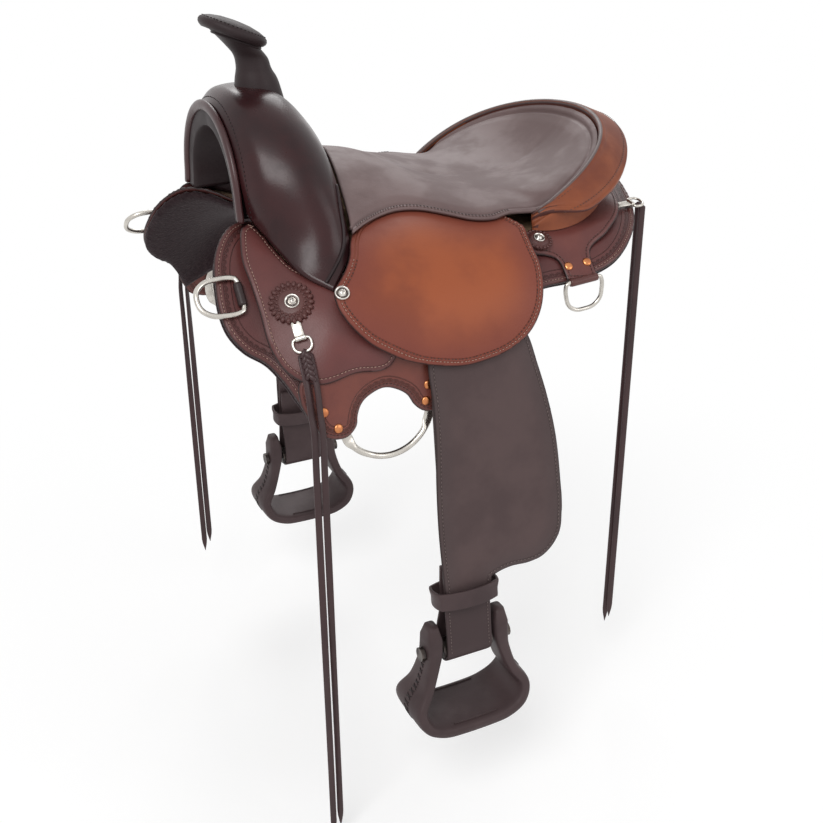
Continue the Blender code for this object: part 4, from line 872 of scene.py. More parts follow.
def make_floor():
    bm = bmesh.new()
    bmesh.ops.create_grid(bm, x_segments=1, y_segments=1, size=FLOOR_HALF)
    bmesh.ops.translate(bm, verts=bm.verts, vec=(0, 0, CAD_BOX[0][2] - FLOOR_DROP))
    mesh = bpy.data.meshes.new("floor")
    bm.to_mesh(mesh)
    bm.free()
    mat, tree, shader = new_material("pale_floor", 0.9, gloss=0.0)
    place = tree.nodes.new("ShaderNodeTexCoord").outputs["Object"]
    reach = tree.nodes.new("ShaderNodeVectorMath")
    reach.operation = "LENGTH"
    tree.links.new(place, reach.inputs[0])
    far = spread(tree, reach.outputs["Value"], SHADED_R, WHITE_R)
    tree.links.new(blend(tree, far, (0.78, 0.78, 0.78), (0, 0, 0)), shader.inputs["Base Color"])
    tree.links.new(blend(tree, far, (0.3, 0.3, 0.3), (1, 1, 1)), shader.inputs["Emission Color"])
    shader.inputs["Emission Strength"].default_value = 1
    mesh.materials.append(mat)
    floor = bpy.data.objects.new("floor", mesh)
    bpy.context.scene.collection.objects.link(floor)


# Strings

def string_bar_frame(side):
    x, t = ROSETTE_AT[0] - 2, STRING_CLIP_DOWN
    low = front_jockey_low(x, t) + JOCKEY_T + GAP
    return side_frame(x, t + 1, low + 0.3 + STRING_DEE_ROD + FIT + 1.3, side)


def dee_frames(side):
    """Frames of the front dee, the rear dee and the rear string dee."""
    x, t = FRONT_DEE_AT
    base = side_frame(x, t, DEE_ROD + FIT + BARREL_WALL - 0.6, side)
    front = turned(base, Vector((0, 1, 0)), Vector((-1, 0.12, 0)))
    x, t = REAR_DEE_AT
    rear = side_frame(x, t, GAP + REAR_DEE_ROD + FIT + BARREL_WALL, side)
    first = rear.col[0].xyz.normalized()
    down = Vector((0, 0, -1))
    down = (down - first * down.dot(first)).normalized()
    rear.col[1].xyz = down
    rear.col[2].xyz = first.cross(down)
    x, t = REAR_CLIP_AT
    base = side_frame(x, t, rear_jockey_low(x, t) + 4.4, side)
    string = turned(base, Vector((0, 1, 0)), Vector((1, 0, 0)))
    return front, rear, string


def hanging(start, outward, low_z, count):
    return [Vector((start.x, start.y + outward * ease(i / count), mix(start.z, low_z, i / count)))
            for i in range(1, count + 1)]


def thong(name, route, side, node, turn):
    """A flat leather string along its route, cut to a point at its end."""
    count = 90
    path = [along(route, i / count) for i in range(count + 1)]
    frames = carried(path, False)
    outward = Vector((-0.25, -side, 0.1)).normalized()

    def at(u, v):
        p, d, _, _ = frames[round(u * count)]
        flat = d.cross(outward).normalized()
        up = flat.cross(d).normalized()
        twist = turn * math.sin(u * 5.1 + turn)
        a = flat * math.cos(twist) + up * math.sin(twist)
        b = up * math.cos(twist) - flat * math.sin(twist)
        tip = min(1.0, (1 - u) * 34 + 0.06) * min(1.0, u * 60 + 0.3)
        angle = math.tau * v
        wide, deep = squared(math.cos(angle), 0.5), squared(math.sin(angle), 0.5)
        return p + a * wide * STRING_W / 2 * tip + b * deep * STRING_T / 2 * min(1.0, tip * 2)

    bm = bmesh.new()
    surface(bm, count, 12, at)
    closed(bm)
    piece = fitted(name, bm, "thong", node, (node,))
    length = sum((b - a).length for a, b in zip(path, path[1:])) * MM


def plait(name, side):
    """The plaited knot of the two front strings, under their dee."""
    bm = bmesh.new()
    x, top = ROSETTE_AT[0] - 2, STRING_CLIP_DOWN + STRING_DEE_DROP + 2
    for k in range(10):
        hand = 1 if k % 2 else -1
        m = side_frame(x + hand * 1.6, top + 2.7 * k, 18.6 + 0.5 * hand, side)
        way = (m.to_3x3() @ Vector((hand * 0.75, 1, 0))).normalized()
        add_stitch(bm, m.translation, way, m.col[2].xyz.normalized(), 13, 6.4, 1.2)
    fitted(f"front_string_plait_{name}", bm, "thong", f"string_front_{name}_1")


def hang_strings(name, side):
    plait(name, side)
    front, rear = string_bar_frame(side), dee_frames(side)[2]
    clear = STRING_DEE_ROD + FIT
    for k, shift in ((1, -4.6), (2, 4.6)):
        points = [front @ Vector((shift, STRING_DEE_DROP * 0.99 + clear, 0))]
        drape = [(STRING_CLIP_DOWN + STRING_DEE_DROP + 14, 18), (204, 18.4), (220, 17.6),
                 (240, 15), (262, 14)]
        points += [on_side(ROSETTE_AT[0] - 2 + shift, t, n, side) for t, n in drape]
        points += hanging(points[-1], -side * 4, FRONT_STRING_Z[name][k - 1], 12)
        thong(f"front_string_{name}_{k}", points, side, f"string_front_{name}_{k}", 0.3 + 0.2 * k)
        start = rear @ Vector((shift, STRING_DEE_DROP * 0.99, 0)) - Vector((0, 0, clear + 1))
        points = [start, start - Vector((0, 0, 16))]
        points += hanging(points[-1], -side * 2, REAR_STRING_Z[k - 1], 12)
        thong(f"rear_string_{name}_{k}", points, side, f"string_rear_{name}_{k}", 0.6 - 0.3 * k)


# The side's leathers

def cantle_side():
    out = []
    for k in range(9):
        a = math.radians(mix(9, 98, k / 8))
        x = RIM_X + (RIM_A - CANTLE_ROOM) * math.cos(a)
        out.append((x, down_to(x, (RIM_B - CANTLE_ROOM) * math.sin(a))))
    return out


def down_to(x, s):
    low, high = -76.0, 240.0
    for _ in range(24):
        mid = (low + high) / 2
        if section_point(x, mid, TIP_TOP)[0] < s:
            low = mid
        else:
            high = mid
    return low


def lay_leathers(name, side):
    rim = SKIRT_FRONT[:-1] + [(-209, 240)] + SKIRT_RISE + SKIRT_FOOT + SKIRT_REAR + SKIRT_TOP
    rim = rim[-3:] + rim[:-3]
    rig = RIG_TOP[2:] + SKIRT_FRONT[-2:] + RIG_LOBE + RIG_ARCH + RIG_HEEL + RIG_TOP[:2]
    front = FRONT_JOCKEY[-6:] + FRONT_JOCKEY[:-6]
    rear = REAR_JOCKEY + cantle_side()
    rear = rear[-5:] + rear[:-5]
    seat = SEAT_JOCKEY[8:] + SEAT_JOCKEY[:8]
    rig_low = level(PLATE_T + 2 * GAP)
    panels = (
        ("lining", "skirt_lining", rim, level(-SKIRT_T - GAP - LINING_T), LINING_T, "felt", 8),
        ("skirt_hide", "skirt", rim, level(-SKIRT_T), SKIRT_T, "skirt", 5),
        ("rigging_hide", "rigging_leather", rig, rig_low, RIG_T, "rig", 4),
        ("front_jockey_hide", "front_jockey", front, front_jockey_low, JOCKEY_T, "front", 5),
        ("rear_jockey_hide", "rear_jockey", rear, rear_jockey_low, JOCKEY_T, "rear", 4),
        ("seat_jockey_hide", "seat_jockey", seat, seat_jockey_low, JOCKEY_T, "jockey", 5),
        ("fender_hide", "fender", FENDER[-3:] + FENDER[:-3], level(FENDER_N), FENDER_T,
         "fender", 6))
    for piece, node, outline, low, thick, finish, cell in panels:
        leather_panel(f"{piece}_{name}", outline, low, thick, side, finish, f"{node}_{name}", cell)

    # each sewn line runs where no other leather lies over it
    seams = (
        ("skirt_seam", "skirt", "skirt", rim, level(0), "pale_thread",
         lambda x, t: t > 8 and (x < -160 or x > 20)),
        ("rigging_seam", "rigging_leather", "rig", rig, over(rig_low, RIG_T), "brown_thread",
         lambda x, t: t > 214),
        ("front_jockey_seam", "front_jockey", "front", front, over(front_jockey_low, JOCKEY_T),
         "pale_thread", lambda x, t: x < -104),
        ("rear_jockey_seam", "rear_jockey", "rear", rear, over(rear_jockey_low, JOCKEY_T),
         "brown_thread", lambda x, t: t > 0 and x > 100))
    for piece, node, finish, outline, height, yarn, keep in seams:
        panel_seam(f"{piece}_{name}", outline, SEAM_IN[finish][0], height, side, keep, yarn,
                   f"{node}_{name}")
    for k, (inset, yarn) in enumerate(zip(SEAM_IN["jockey"], ("pale_thread", "brown_thread"))):
        panel_seam(f"seat_jockey_seam_{name}_{k}", seat, inset, over(seat_jockey_low, JOCKEY_T),
                   side, lambda x, t: t > 110 or x > 66, yarn, f"seat_jockey_{name}")
    panel_seam(f"fender_seam_{name}", FENDER, SEAM_IN["fender"][0], level(FENDER_N + FENDER_T),
               side, lambda x, t: 196 < t < 506, "leg_thread", f"fender_{name}", pitch=4.8,
               width=1.0)


# Leg: straps and stirrup

def stirrup_loop():
    out = STRAP_N + STRAP_T / 2
    r = ROLLER_R + FIT + STRAP_T / 2
    centre_n = out - r
    line = [(STRAP_TOP, out), (240, out), (300, out), (BOLT_DOWN - 20, out)]
    line += [(BOLT_DOWN + r * math.sin(math.pi * k / 8), centre_n + r * math.cos(math.pi * k / 8))
             for k in range(9)]
    line += [(BOLT_DOWN - 22, centre_n - r * 0.82), (HOBBLE_DOWN + 18, -4), (HOBBLE_DOWN - 10, -1),
             (HOBBLE_DOWN - 40, 3)]
    return [Vector(p) for p in line], centre_n


def resampled(points, step):
    out = []
    for a, b in zip(points, points[1:]):
        count = max(1, math.ceil((b - a).length / step))
        out += [a.lerp(b, k / count) for k in range(count)]
    return out + [points[-1]]


def softened(points, rounds=2):
    for _ in range(rounds):
        points = ([points[0]] + [(a + b * 2 + c) / 4 for a, b, c in
                                 zip(points, points[1:], points[2:])] + [points[-1]])
    return points


def strap_section(v, half_w, half_t):
    """A point of a strap's rounded rectangle at share v of its outline."""
    angle = math.tau * v
    return squared(math.cos(angle), 0.22) * half_w, squared(math.sin(angle), 0.22) * half_t


def make_stirrup_leather(name, side):
    line = softened(resampled(stirrup_loop()[0], 5), 3)

    def at(u, v):
        i = round(u * (len(line) - 1))
        p = line[i]
        a, b = line[max(0, i - 1)], line[min(len(line) - 1, i + 1)]
        d = (b - a).normalized()
        w, n = strap_section(v, STRAP_W / 2, STRAP_T / 2)
        q = p + Vector((-d.y, d.x)) * n
        return on_side(LEG_X + w, q.x, q.y, side)

    bm = bmesh.new()
    surface(bm, len(line) - 1, 32, at)
    closed(bm)
    fitted(f"stirrup_strap_{name}", bm, "leg", f"stirrup_leather_{name}",
           (f"stirrup_leather_{name}",))
    for edge in (-1, 1):
        x = LEG_X + edge * (STRAP_W / 2 - STRAP_SEAM_IN)
        places = [face_place(x, t, STRAP_N + STRAP_T, side)
                  for t in range(HOBBLE_DOWN + 14, BOLT_DOWN + 4)]
        stitched(f"strap_seam_{name}_{'front' if edge < 0 else 'rear'}", places, "leg_thread",
                 f"stirrup_leather_{name}", width=0.9)


def make_hobble(name, side):
    mid_n = FENDER_N + FENDER_T + GAP - HOBBLE_DEPTH / 2
    w, d, c = HOBBLE_W / 2 + HOBBLE_T / 2, HOBBLE_DEPTH / 2 + HOBBLE_T / 2, HOBBLE_CORNER + 1
    quarter = [(w, d - c), (w - c * 0.3, d - c * 0.3), (w - c, d)]
    outline = quarter + [(-x, y) for x, y in quarter[::-1]]
    outline += [(-x, -y) for x, y in outline]
    ring = smooth_ring(outline, 2.0)
    count = len(ring)

    def at(u, v):
        i = round(u * count) % count
        ahead, behind = ring[(i + 1) % count], ring[i - 1]
        d = (ahead - behind).normalized()
        across, thick = strap_section(v, HOBBLE_H / 2, HOBBLE_T / 2)
        p = ring[i] + Vector((d.y, -d.x)) * thick
        flare = 1 + 0.05 * (across < 0)
        return on_side(LEG_X + p.x * flare, HOBBLE_DOWN + across, mid_n + p.y, side)

    bm = bmesh.new()
    surface(bm, count, 24, at)
    closed(bm)
    fitted(f"hobble_band_{name}", bm, "leg", f"hobble_strap_{name}", (f"hobble_strap_{name}",))
    for edge in (-1, 1):
        t = HOBBLE_DOWN + edge * (HOBBLE_H / 2 - HOBBLE_SEAM_IN)
        places = [face_place(LEG_X + k, t, mid_n + d + HOBBLE_T / 2, side)
                  for k in range(-29, 30)]
        stitched(f"hobble_seam_{name}_{'top' if edge < 0 else 'foot'}", places, "leg_thread",
                 f"hobble_strap_{name}", pitch=3.6, length=2.4, width=0.8)


def stirrup_way():
    """Middle line of the stirrup as (across, down, depth, wall)."""
    half = [(-STRAP_W / 2 - 15, -STIRRUP_EAR, EAR_DEPTH * 0.72, 20),
            (-STRAP_W / 2 - 15, -6, EAR_DEPTH * 0.86, 19),
            (-STIRRUP_IN_TOP - 14, 14, EAR_DEPTH * 0.95, STIRRUP_WALL + 3),
            (-STIRRUP_IN_LOW + 4, 44, EAR_DEPTH * 1.25, STIRRUP_WALL + 1),
            (-STIRRUP_IN_LOW - 9, 66, TREAD_DEPTH * 0.82, STIRRUP_WALL + 2),
            (-STIRRUP_IN_LOW - 2, 86, TREAD_DEPTH * 0.96, STIRRUP_WALL + 3),
            (-STIRRUP_IN_LOW + 18, TREAD_DOWN + 11, TREAD_DEPTH, TREAD_WALL),
            (-20, TREAD_DOWN + 14, TREAD_DEPTH, TREAD_WALL)]
    return [Vector(p) for p in half + [(-x, t, d, w) for x, t, d, w in reversed(half)]]


def make_stirrup(name, side):
    way = stirrup_way()
    bolt = on_side(LEG_X, BOLT_DOWN, stirrup_loop()[1], side)

    def skin(u, across, wall):
        q = along(way, u)
        ahead, behind = along(way, min(1, u + 0.01)), along(way, max(0, u - 0.01))
        d = Vector((ahead[0] - behind[0], ahead[1] - behind[1])).normalized()
        p = Vector((q[0], q[1])) + Vector((-d.y, d.x)) * q[3] / 2 * wall
        return bolt + Vector((p.x, -side * q[2] / 2 * across, -p.y))

    def at(u, v):
        angle = math.tau * v
        end = min(1.0, 0.62 + 12 * min(u, 1 - u))
        return skin(u, squared(math.cos(angle), 0.42) * end, squared(math.sin(angle), 0.5) * end)

    bm = bmesh.new()
    surface(bm, 96, 32, at)
    closed(bm)
    fitted(f"stirrup_wrap_{name}", bm, "leg", f"stirrup_{name}", (f"stirrup_{name}",))
    bm = bmesh.new()
    for k in range(17):
        u = mix(0.12, 0.4, k / 16)
        for flip in (0, 1):
            for cross in (-1, 1):
                a = skin(1 - u if flip else u, 0.2 * cross, 1.0)
                w = u + 0.012
                b = skin(1 - w if flip else w, -0.2 * cross, 1.0)
                mid = skin(1 - u - 0.006 if flip else u + 0.006, 0, 1.0)
                out = (mid - skin(1 - u if flip else u, 0, 0)).normalized()
                add_stitch(bm, (a + b) / 2, (b - a).normalized(), out, (b - a).length, 1.9, 0.3)
    fitted(f"stirrup_lacing_{name}", bm, "dark_thread", f"stirrup_{name}")
    bm = bmesh.new()
    for edge in (-0.8, 0.8):
        path = [skin(mix(0.44, 0.56, k / 20), edge, -1.02) for k in range(21)]
        add_rod(bm, path, 0.8, 6)
    closed(bm)
    fitted(f"tread_welts_{name}", bm, "leg", f"stirrup_{name}")


# Hardware

def dee_path(m, half, drop, bulge):
    corner = 3.5
    right = [(0, 0), (half - corner, 0), (half - 1, 1.2), (half, corner + 0.5),
             (half + bulge, drop * 0.45), (half * 0.88 + bulge, drop * 0.75),
             (half * 0.5, drop * 0.96)]
    left = [(-x, y) for x, y in reversed(right[1:])]
    flat = smooth_ring([Vector(p) for p in right + [(0, drop)] + left], 2.0)
    return [m @ Vector((p.x, p.y, 0)) for p in flat]


def make_dee(name, m, half, drop, bulge, radius, node):
    rod_piece(name, dee_path(m, half, drop, bulge), radius, "steel", node, (node,), 12, True)


def keeper(name, m, half, bar_r, wall, finish, node):
    """The leather or metal rolled round a dee's straight side."""
    path = [m @ Vector((mix(-half, half, k / 14), 0, 0)) for k in range(15)]
    rod_piece(name, path, lambda u: bar_r + FIT + wall * min(1.0, 0.75 + 4 * min(u, 1 - u)),
              finish, node, sides=20)


def rivet(bm, m, radius=5.4, height=1.9):
    spun(bm, [(radius, -0.6), (radius, 0.2), (radius * 0.86, height * 0.7),
              (radius * 0.5, height), (0, height * 1.08)], m, 20)


def make_concho(name, m, radius, height, node, replaces=()):
    """A round concho: beaded rim, sunk ground, raised flower of plain petals, domed centre."""
    bm = bmesh.new()
    spun(bm, [(radius * 0.98, -1.4), (radius, height * 0.3), (radius * 0.93, height * 0.55),
              (radius * 0.84, height * 0.52), (radius * 0.78, height * 0.25),
              (radius * 0.5, height * 0.25), (radius * 0.46, height * 0.62),
              (radius * 0.3, height * 0.88), (0, height)], m, 40)
    back = m.inverted()
    for f in bm.faces:
        centre = back @ f.calc_center_median()
        if radius * 0.5 < Vector((centre.x, centre.y)).length < radius * 0.78:
            f.material_index = 1
    plain = set(bm.faces)
    for k in range(4):
        a = math.tau * (k + 0.5) / 4
        way = m.to_3x3() @ Vector((math.cos(a), math.sin(a), 0))
        p = m @ Vector((0, 0, height * 0.93)) + way * radius * 0.17
        add_stitch(bm, p, way.normalized(), m.col[2].xyz.normalized(), radius * 0.3,
                   radius * 0.13, 0)
    for f in bm.faces:
        if f not in plain:
            f.material_index = 1
    fitted(name, bm, "silver", node, replaces, extra=("tarnish",))


def rosette(name, side, at, radius, low, finish, node, petals, concho_h, tiers):
    """A leather rosette: a disc with a row of rounded petals, a raised button and its concho."""
    x, t = at
    bm = bmesh.new()
    m = side_frame(x, t, low(x, t), side)
    spun(bm, [(radius * 0.86, -1.2), (radius * 0.9, 1.0), (radius * 0.84, 2.2),
              (radius * 0.62, 2.6), (radius * 0.58, ROSETTE_T), (radius * 0.5, ROSETTE_T + 0.5),
              (0, ROSETTE_T + 0.4)], m, 64)
    axis = m.to_3x3()
    for k in range(petals):
        a = math.tau * k / petals
        way = Vector((math.cos(a), math.sin(a), 0))
        p = m @ (way * radius * 0.84 + Vector((0, 0, 1.7)))
        add_stitch(bm, p, (axis @ way).normalized(), m.col[2].xyz.normalized(),
                   radius * 0.32, math.tau * radius * 0.84 / petals * 0.92, 0.2)
        if tiers:
            way = Vector((math.cos(a + 0.22), math.sin(a + 0.22), 0))
            p = m @ (way * radius * 0.6 + Vector((0, 0, 2.9)))
            add_stitch(bm, p, (axis @ way).normalized(), m.col[2].xyz.normalized(),
                       radius * 0.2, math.tau * radius * 0.6 / petals * 0.8, 0.1)
    fitted(name, bm, finish, node, (node,))
    m = side_frame(x, t, low(x, t) + ROSETTE_T + 0.2, side)
    make_concho(name.replace("rosette", "concho"), m, CONCHO_R * (1 if tiers else 0.85), concho_h,
                node)


def make_ring(name, side):
    """The rigging ring: a flat plate between the leathers above, a round rod below."""
    def at(u, v):
        a = math.tau * u
        plate = ease((0.62 - math.sin(a)) / 0.2)
        mid_n = mix(GAP + ROD_R, GAP + PLATE_T / 2, plate)
        half_w, half_n = mix(ROD_R, PLATE_HALF_W, plate), mix(ROD_R, PLATE_T / 2, plate)
        b = math.tau * v
        r = RING_R + half_w * math.cos(b)
        return on_side(RING_X + r * math.cos(a), RING_DOWN + r * math.sin(a),
                       mid_n + half_n * math.sin(b), side)

    bm = bmesh.new()
    surface(bm, 120, 16, at)
    closed(bm)
    fitted(f"rigging_ring_rod_{name}", bm, "steel", f"rigging_ring_{name}",
           (f"rigging_ring_{name}",))


def make_hardware(name, side):
    front, rear, string = dee_frames(side)
    make_ring(name, side)
    low = over(front_jockey_low, JOCKEY_T + GAP)
    rosette(f"front_rosette_{name}", side, ROSETTE_AT, ROSETTE_R, low, "rosette",
            f"rosette_front_{name}", 22, 4.2, True)
    low = over(rear_jockey_low, JOCKEY_T + GAP)
    rosette(f"rear_rosette_{name}", side, REAR_ROSETTE_AT, ROSETTE_REAR_R, low, "rosette",
            f"rosette_rear_{name}", 20, 3.8, False)
    x, t = SWELL_CONCHO_AT
    m = side_frame(x, t, seat_jockey_low(x, t) + JOCKEY_T + 0.6, side)
    make_concho(f"swell_concho_{name}", m, CONCHO_R, 4.4, f"concho_swell_{name}",
                (f"concho_swell_{name}",))

    bar = string_bar_frame(side)
    make_dee(f"front_string_dee_{name}", bar, STRING_DEE_HALF, STRING_DEE_DROP, 0,
             STRING_DEE_ROD, f"string_dee_front_{name}")
    keeper(f"front_string_clip_roll_{name}", bar, STRING_DEE_HALF - 4, STRING_DEE_ROD, 1.3,
           "steel", f"rosette_front_{name}")
    make_dee(f"front_dee_ring_{name}", front, DEE_HALF, DEE_DROP, 1, DEE_ROD,
             f"dee_front_{name}")
    keeper(f"front_dee_keeper_{name}", front, DEE_HALF - 7, DEE_ROD, BARREL_WALL, "skirt",
           f"skirt_{name}")
    make_dee(f"rear_dee_ring_{name}", rear, REAR_DEE_HALF, REAR_DEE_DROP, 0, REAR_DEE_ROD,
             f"dee_rear_{name}")
    keeper(f"rear_dee_keeper_{name}", rear, REAR_DEE_HALF - 6, REAR_DEE_ROD, BARREL_WALL, "rosette",
           f"rear_jockey_{name}")
    make_dee(f"rear_string_dee_{name}", string, STRING_DEE_HALF, STRING_DEE_DROP, 0,
             STRING_DEE_ROD, f"string_dee_rear_{name}")
    keeper(f"rear_string_clip_roll_{name}", string, STRING_DEE_HALF - 4, STRING_DEE_ROD, 1.3,
           "steel", f"rear_jockey_{name}")

    bm = bmesh.new()
    rig_top = PLATE_T + 2 * GAP + RIG_T
    for x, t in RIG_RIVETS:
        rivet(bm, side_frame(x, t, rig_top, side))
    for x, t in TAB_RIVETS:
        rivet(bm, side_frame(x, t, rear_jockey_low(x, t) + JOCKEY_T, side))
    fitted(f"rivets_{name}", bm, "copper", f"rigging_leather_{name}")


def make_clips(name, side):
    """The steel plates that hold the string dees."""
    width = (STRING_DEE_HALF - 4.7) * 2
    x, t = ROSETTE_AT[0] - 2, ROSETTE_AT[1] + 28
    front = side_frame(x, t, front_jockey_low(x, t) + JOCKEY_T + GAP + 1, side)
    x, t = REAR_CLIP_AT
    rear = side_frame(x - REAR_CLIP / 2, t, rear_jockey_low(x, t) + 5, side)
    bm = bmesh.new()
    for m, size in ((front, (width, FRONT_CLIP, CLIP_T, 1)), (rear, (REAR_CLIP, width, CLIP_T, 1))):
        bmesh.ops.create_cube(bm, size=1, matrix=m @ Matrix.Diagonal(size))
    bmesh.ops.bevel(bm, geom=bm.verts[:] + bm.edges[:], offset=0.5, affect="EDGES", segments=2,
                    profile=0.5, material=-1)
    fitted(f"string_clips_{name}", bm, "steel", f"rosette_front_{name}")


# Fork, gullet and horn

def cover_point(u, v):
    """A point of the swell cover's outer face: u from the gullet back, v from the middle down."""
    def foot(x, t):
        return on_side(x, t, TIP_TOP + 2 * GAP + JOCKEY_T + COVER_T + 0.8, 1)

    rim = [(GULLET_X, -GULLET_HALF_W * math.sin(a), GULLET_BASE_Z + GULLET_H * math.cos(a) ** 0.9)
           for a in [math.pi / 2 * k / 5 for k in range(5)]] + [foot(-217, 12)]
    front = [(-199, 0, 137), (-200, -46, 131), (-201, -86, 106), (-203, -115, 70),
             (-205, -126, 34), foot(-207, 38)]
    ridge = [(-152, 0, 133), (-154, -50, 129), (-160, -98, 106), (-164, -135, 66),
             (-174, -150, 22), foot(-197, 67)]
    back = [(-115, 0, 98), (-120, -52, 95), (-126, -102, 78), (-134, -141, 44),
            (-148, -166, 4), foot(-184, 100)]
    rear = [(-89, 0, 57), (-98, -50, 50), (-109, -102, 34), (-119, -140, 14),
            (-126, -170, -16), foot(-159, 129)]
    across = [along(line, abs(v), True) for line in (rim, front, ridge, back, rear)]
    p = along(across, u)
    return Vector((p.x, p.y if v >= 0 else -p.y, p.z))


def cover_out(u, v):
    """Direction out of the swell cover."""
    a = cover_point(min(1, u + 0.02), v) - cover_point(max(0, u - 0.02), v)
    b = cover_point(u, min(1, v + 0.02)) - cover_point(u, max(-1, v - 0.02))
    out = a.cross(b).normalized()
    return out if out.dot(cover_point(u, v) - Vector((-165, 0, 0))) > 0 else -out


def gullet_point(a, inset, x):
    """A point of the gullet's arch at an angle from its top, moved in from its inner face."""
    side = math.copysign(1, math.sin(a))
    below = max(0.0, abs(a) - ARCH_END)
    a -= side * below
    s = (GULLET_HALF_W - inset) * abs(math.sin(a))
    z = GULLET_BASE_Z + (GULLET_H - inset) * max(0.0, math.cos(a)) ** 0.9
    return Vector((x, -side * (s + below * LEG_SPLAY), z - below * LEG_FALL))


def thickened(obj, thick):
    mod = obj.modifiers.new("thickness", "SOLIDIFY")
    mod.thickness = thick * MM
    mod.offset = -1
    return obj


def make_swell():
    bm = bmesh.new()
    surface(bm, 60, 96, lambda u, w: cover_point(u, w * 2 - 1))
    bmesh.ops.recalc_face_normals(bm, faces=bm.faces)
    if sum(f.normal.dot(f.calc_center_median() - Vector((-165, 0, 0))) for f in bm.faces) < 0:
        bmesh.ops.reverse_faces(bm, faces=bm.faces)
    thickened(fitted("swell_hide", bm, "cover", "swell_cover", ("swell_cover",)), COVER_T)

    places = []
    for k in range(361):
        v = mix(-0.97, 0.97, k / 360)
        places.append((cover_point(0.075, v), cover_out(0.075, v)))
    stitched("swell_front_seam", places, "dark_thread", "swell_cover", pitch=5, length=3.2,
             width=1.2)
    for name, side in SIDES:
        path = []
        for k in range(51):
            v = side * mix(0.5, 0.985, k / 50)
            path.append(cover_point(mix(0.87, 0.93, ease(k / 50)), v) + cover_out(0.9, v) * 0.6)
        rod_piece(f"swell_welt_{name}", path, 1.9, "horn", "swell_cover", sides=10)


def make_gullet():
    front = GULLET_X - ROLL_R * 0.9 - FIT
    def roll(u, v):
        a = mix(-ROLL_ARC, ROLL_ARC, u)
        b = math.tau * v
        return gullet_point(a, ROLL_R * 0.6 - ROLL_R * 1.3 * math.sin(b),
                            front + ROLL_R * math.cos(b) * 0.9)

    bm = bmesh.new()
    surface(bm, 72, 16, roll)
    closed(bm)
    fitted("gullet_roll", bm, "roll", "gullet_cover", ("gullet_cover",))

    line = [(3, 3), (8, 1.6), (FORK_WALL + 3, 1.5), (FORK_WALL + 7, 4), (FORK_WALL + 8, 20),
            (FORK_WALL + 8, 46)]

    def lining(u, v):
        a = mix(-ROLL_ARC, ROLL_ARC, u)
        q = along([(inset, back, 0) for inset, back in line], v)
        return gullet_point(a, q.x, front + q.y)

    bm = bmesh.new()
    surface(bm, 72, 24, lining)
    bmesh.ops.recalc_face_normals(bm, faces=bm.faces)
    thickened(fitted("gullet_lining", bm, "lining", "gullet_cover"), 1.2)


def horn_frame(along_e, along_n):
    tilt = math.radians(HORN_TILT)
    return Vector((CAP_AT[0] + along_e * math.cos(tilt) + along_n * math.sin(tilt), 0,
                   CAP_AT[1] - along_e * math.sin(tilt) + along_n * math.cos(tilt)))


def make_horn():
    sections = [(Vector((f[0], 0, f[1])), Vector((r[0], 0, r[1])), b) for f, r, b in NECK]
    sections.append((horn_frame(-25, CAP_SEAT), horn_frame(33, CAP_SEAT), 27))

    def neck(u, v):
        front = along([s[0] for s in sections], u)
        rear = along([s[1] for s in sections], u)
        breadth = along([(s[2], 0, 0) for s in sections], u).x
        centre, half = (front + rear) / 2, (rear - front) / 2
        a = math.tau * v
        return centre + half * math.cos(a) + Vector((0, breadth * math.sin(a), 0))

    bm = bmesh.new()
    surface(bm, 40, 40, neck)
    closed(bm)
    fitted("horn_wrap", bm, "horn", "horn_neck_wrap", ("horn_neck_wrap", "horn_core"))

    profile = [(0, 9.7), (8, 9.4), (17, 8.8), (28, 6.6), (35, 4), (38.4, 1.4), (CAP_R, -1.4),
               (38.9, -4.2), (37, -6.4), (34, CAP_SEAT), (12, CAP_SEAT), (0, CAP_SEAT)]
    centre = horn_frame(0, 0)
    e = (horn_frame(1, 0) - centre).normalized()
    n = (horn_frame(0, 1) - centre).normalized()
    m = Matrix((e, n.cross(e), n)).transposed().to_4x4()
    m.translation = centre
    bm = bmesh.new()
    spun(bm, profile, m, 64)
    bmesh.ops.recalc_face_normals(bm, faces=bm.faces)
    fitted("horn_cap_leather", bm, "horn", "horn_cap", ("horn_cap",))
    places = []
    for k in range(181):
        a = math.tau * k / 180
        places.append((m @ Vector((36 * math.cos(a), 36 * math.sin(a), 3.3)), n))
    stitched("horn_cap_seam", places, "dark_thread", "horn_cap", pitch=4.6)
    ring = [neck(0.965, k / 60) for k in range(60)]
    rod_piece("horn_neck_welt", ring, 1.6, "horn", "horn_cap", sides=10, loop=True)


# Seat and cantle

def rim_point(deg, drop=0, inset=0):
    a = math.radians(deg)
    return Vector((RIM_X + (RIM_A - inset) * math.cos(a), -(RIM_B - inset) * math.sin(a),
                   RIM_Z + RIM_RISE * math.cos(a) - RIM_DIP * math.cos(2 * a) - drop))


def roll_point(deg):
    a = math.radians(deg)
    return Vector((ROLL_X + ROLL_A * math.cos(a), -ROLL_B * math.sin(a),
                   EDGE_Z + EDGE_RISE * math.cos(a) + EDGE_DIP * math.cos(2 * a)))


def base_point(deg, inset, n):
    a = math.radians(deg)
    x = RIM_X + (RIM_A + 2 - inset) * math.cos(a)
    s = (RIM_B + 1 - inset) * math.sin(a)
    return Vector((x, -s, on_side(x, down_to(x, s), n, 1).z))


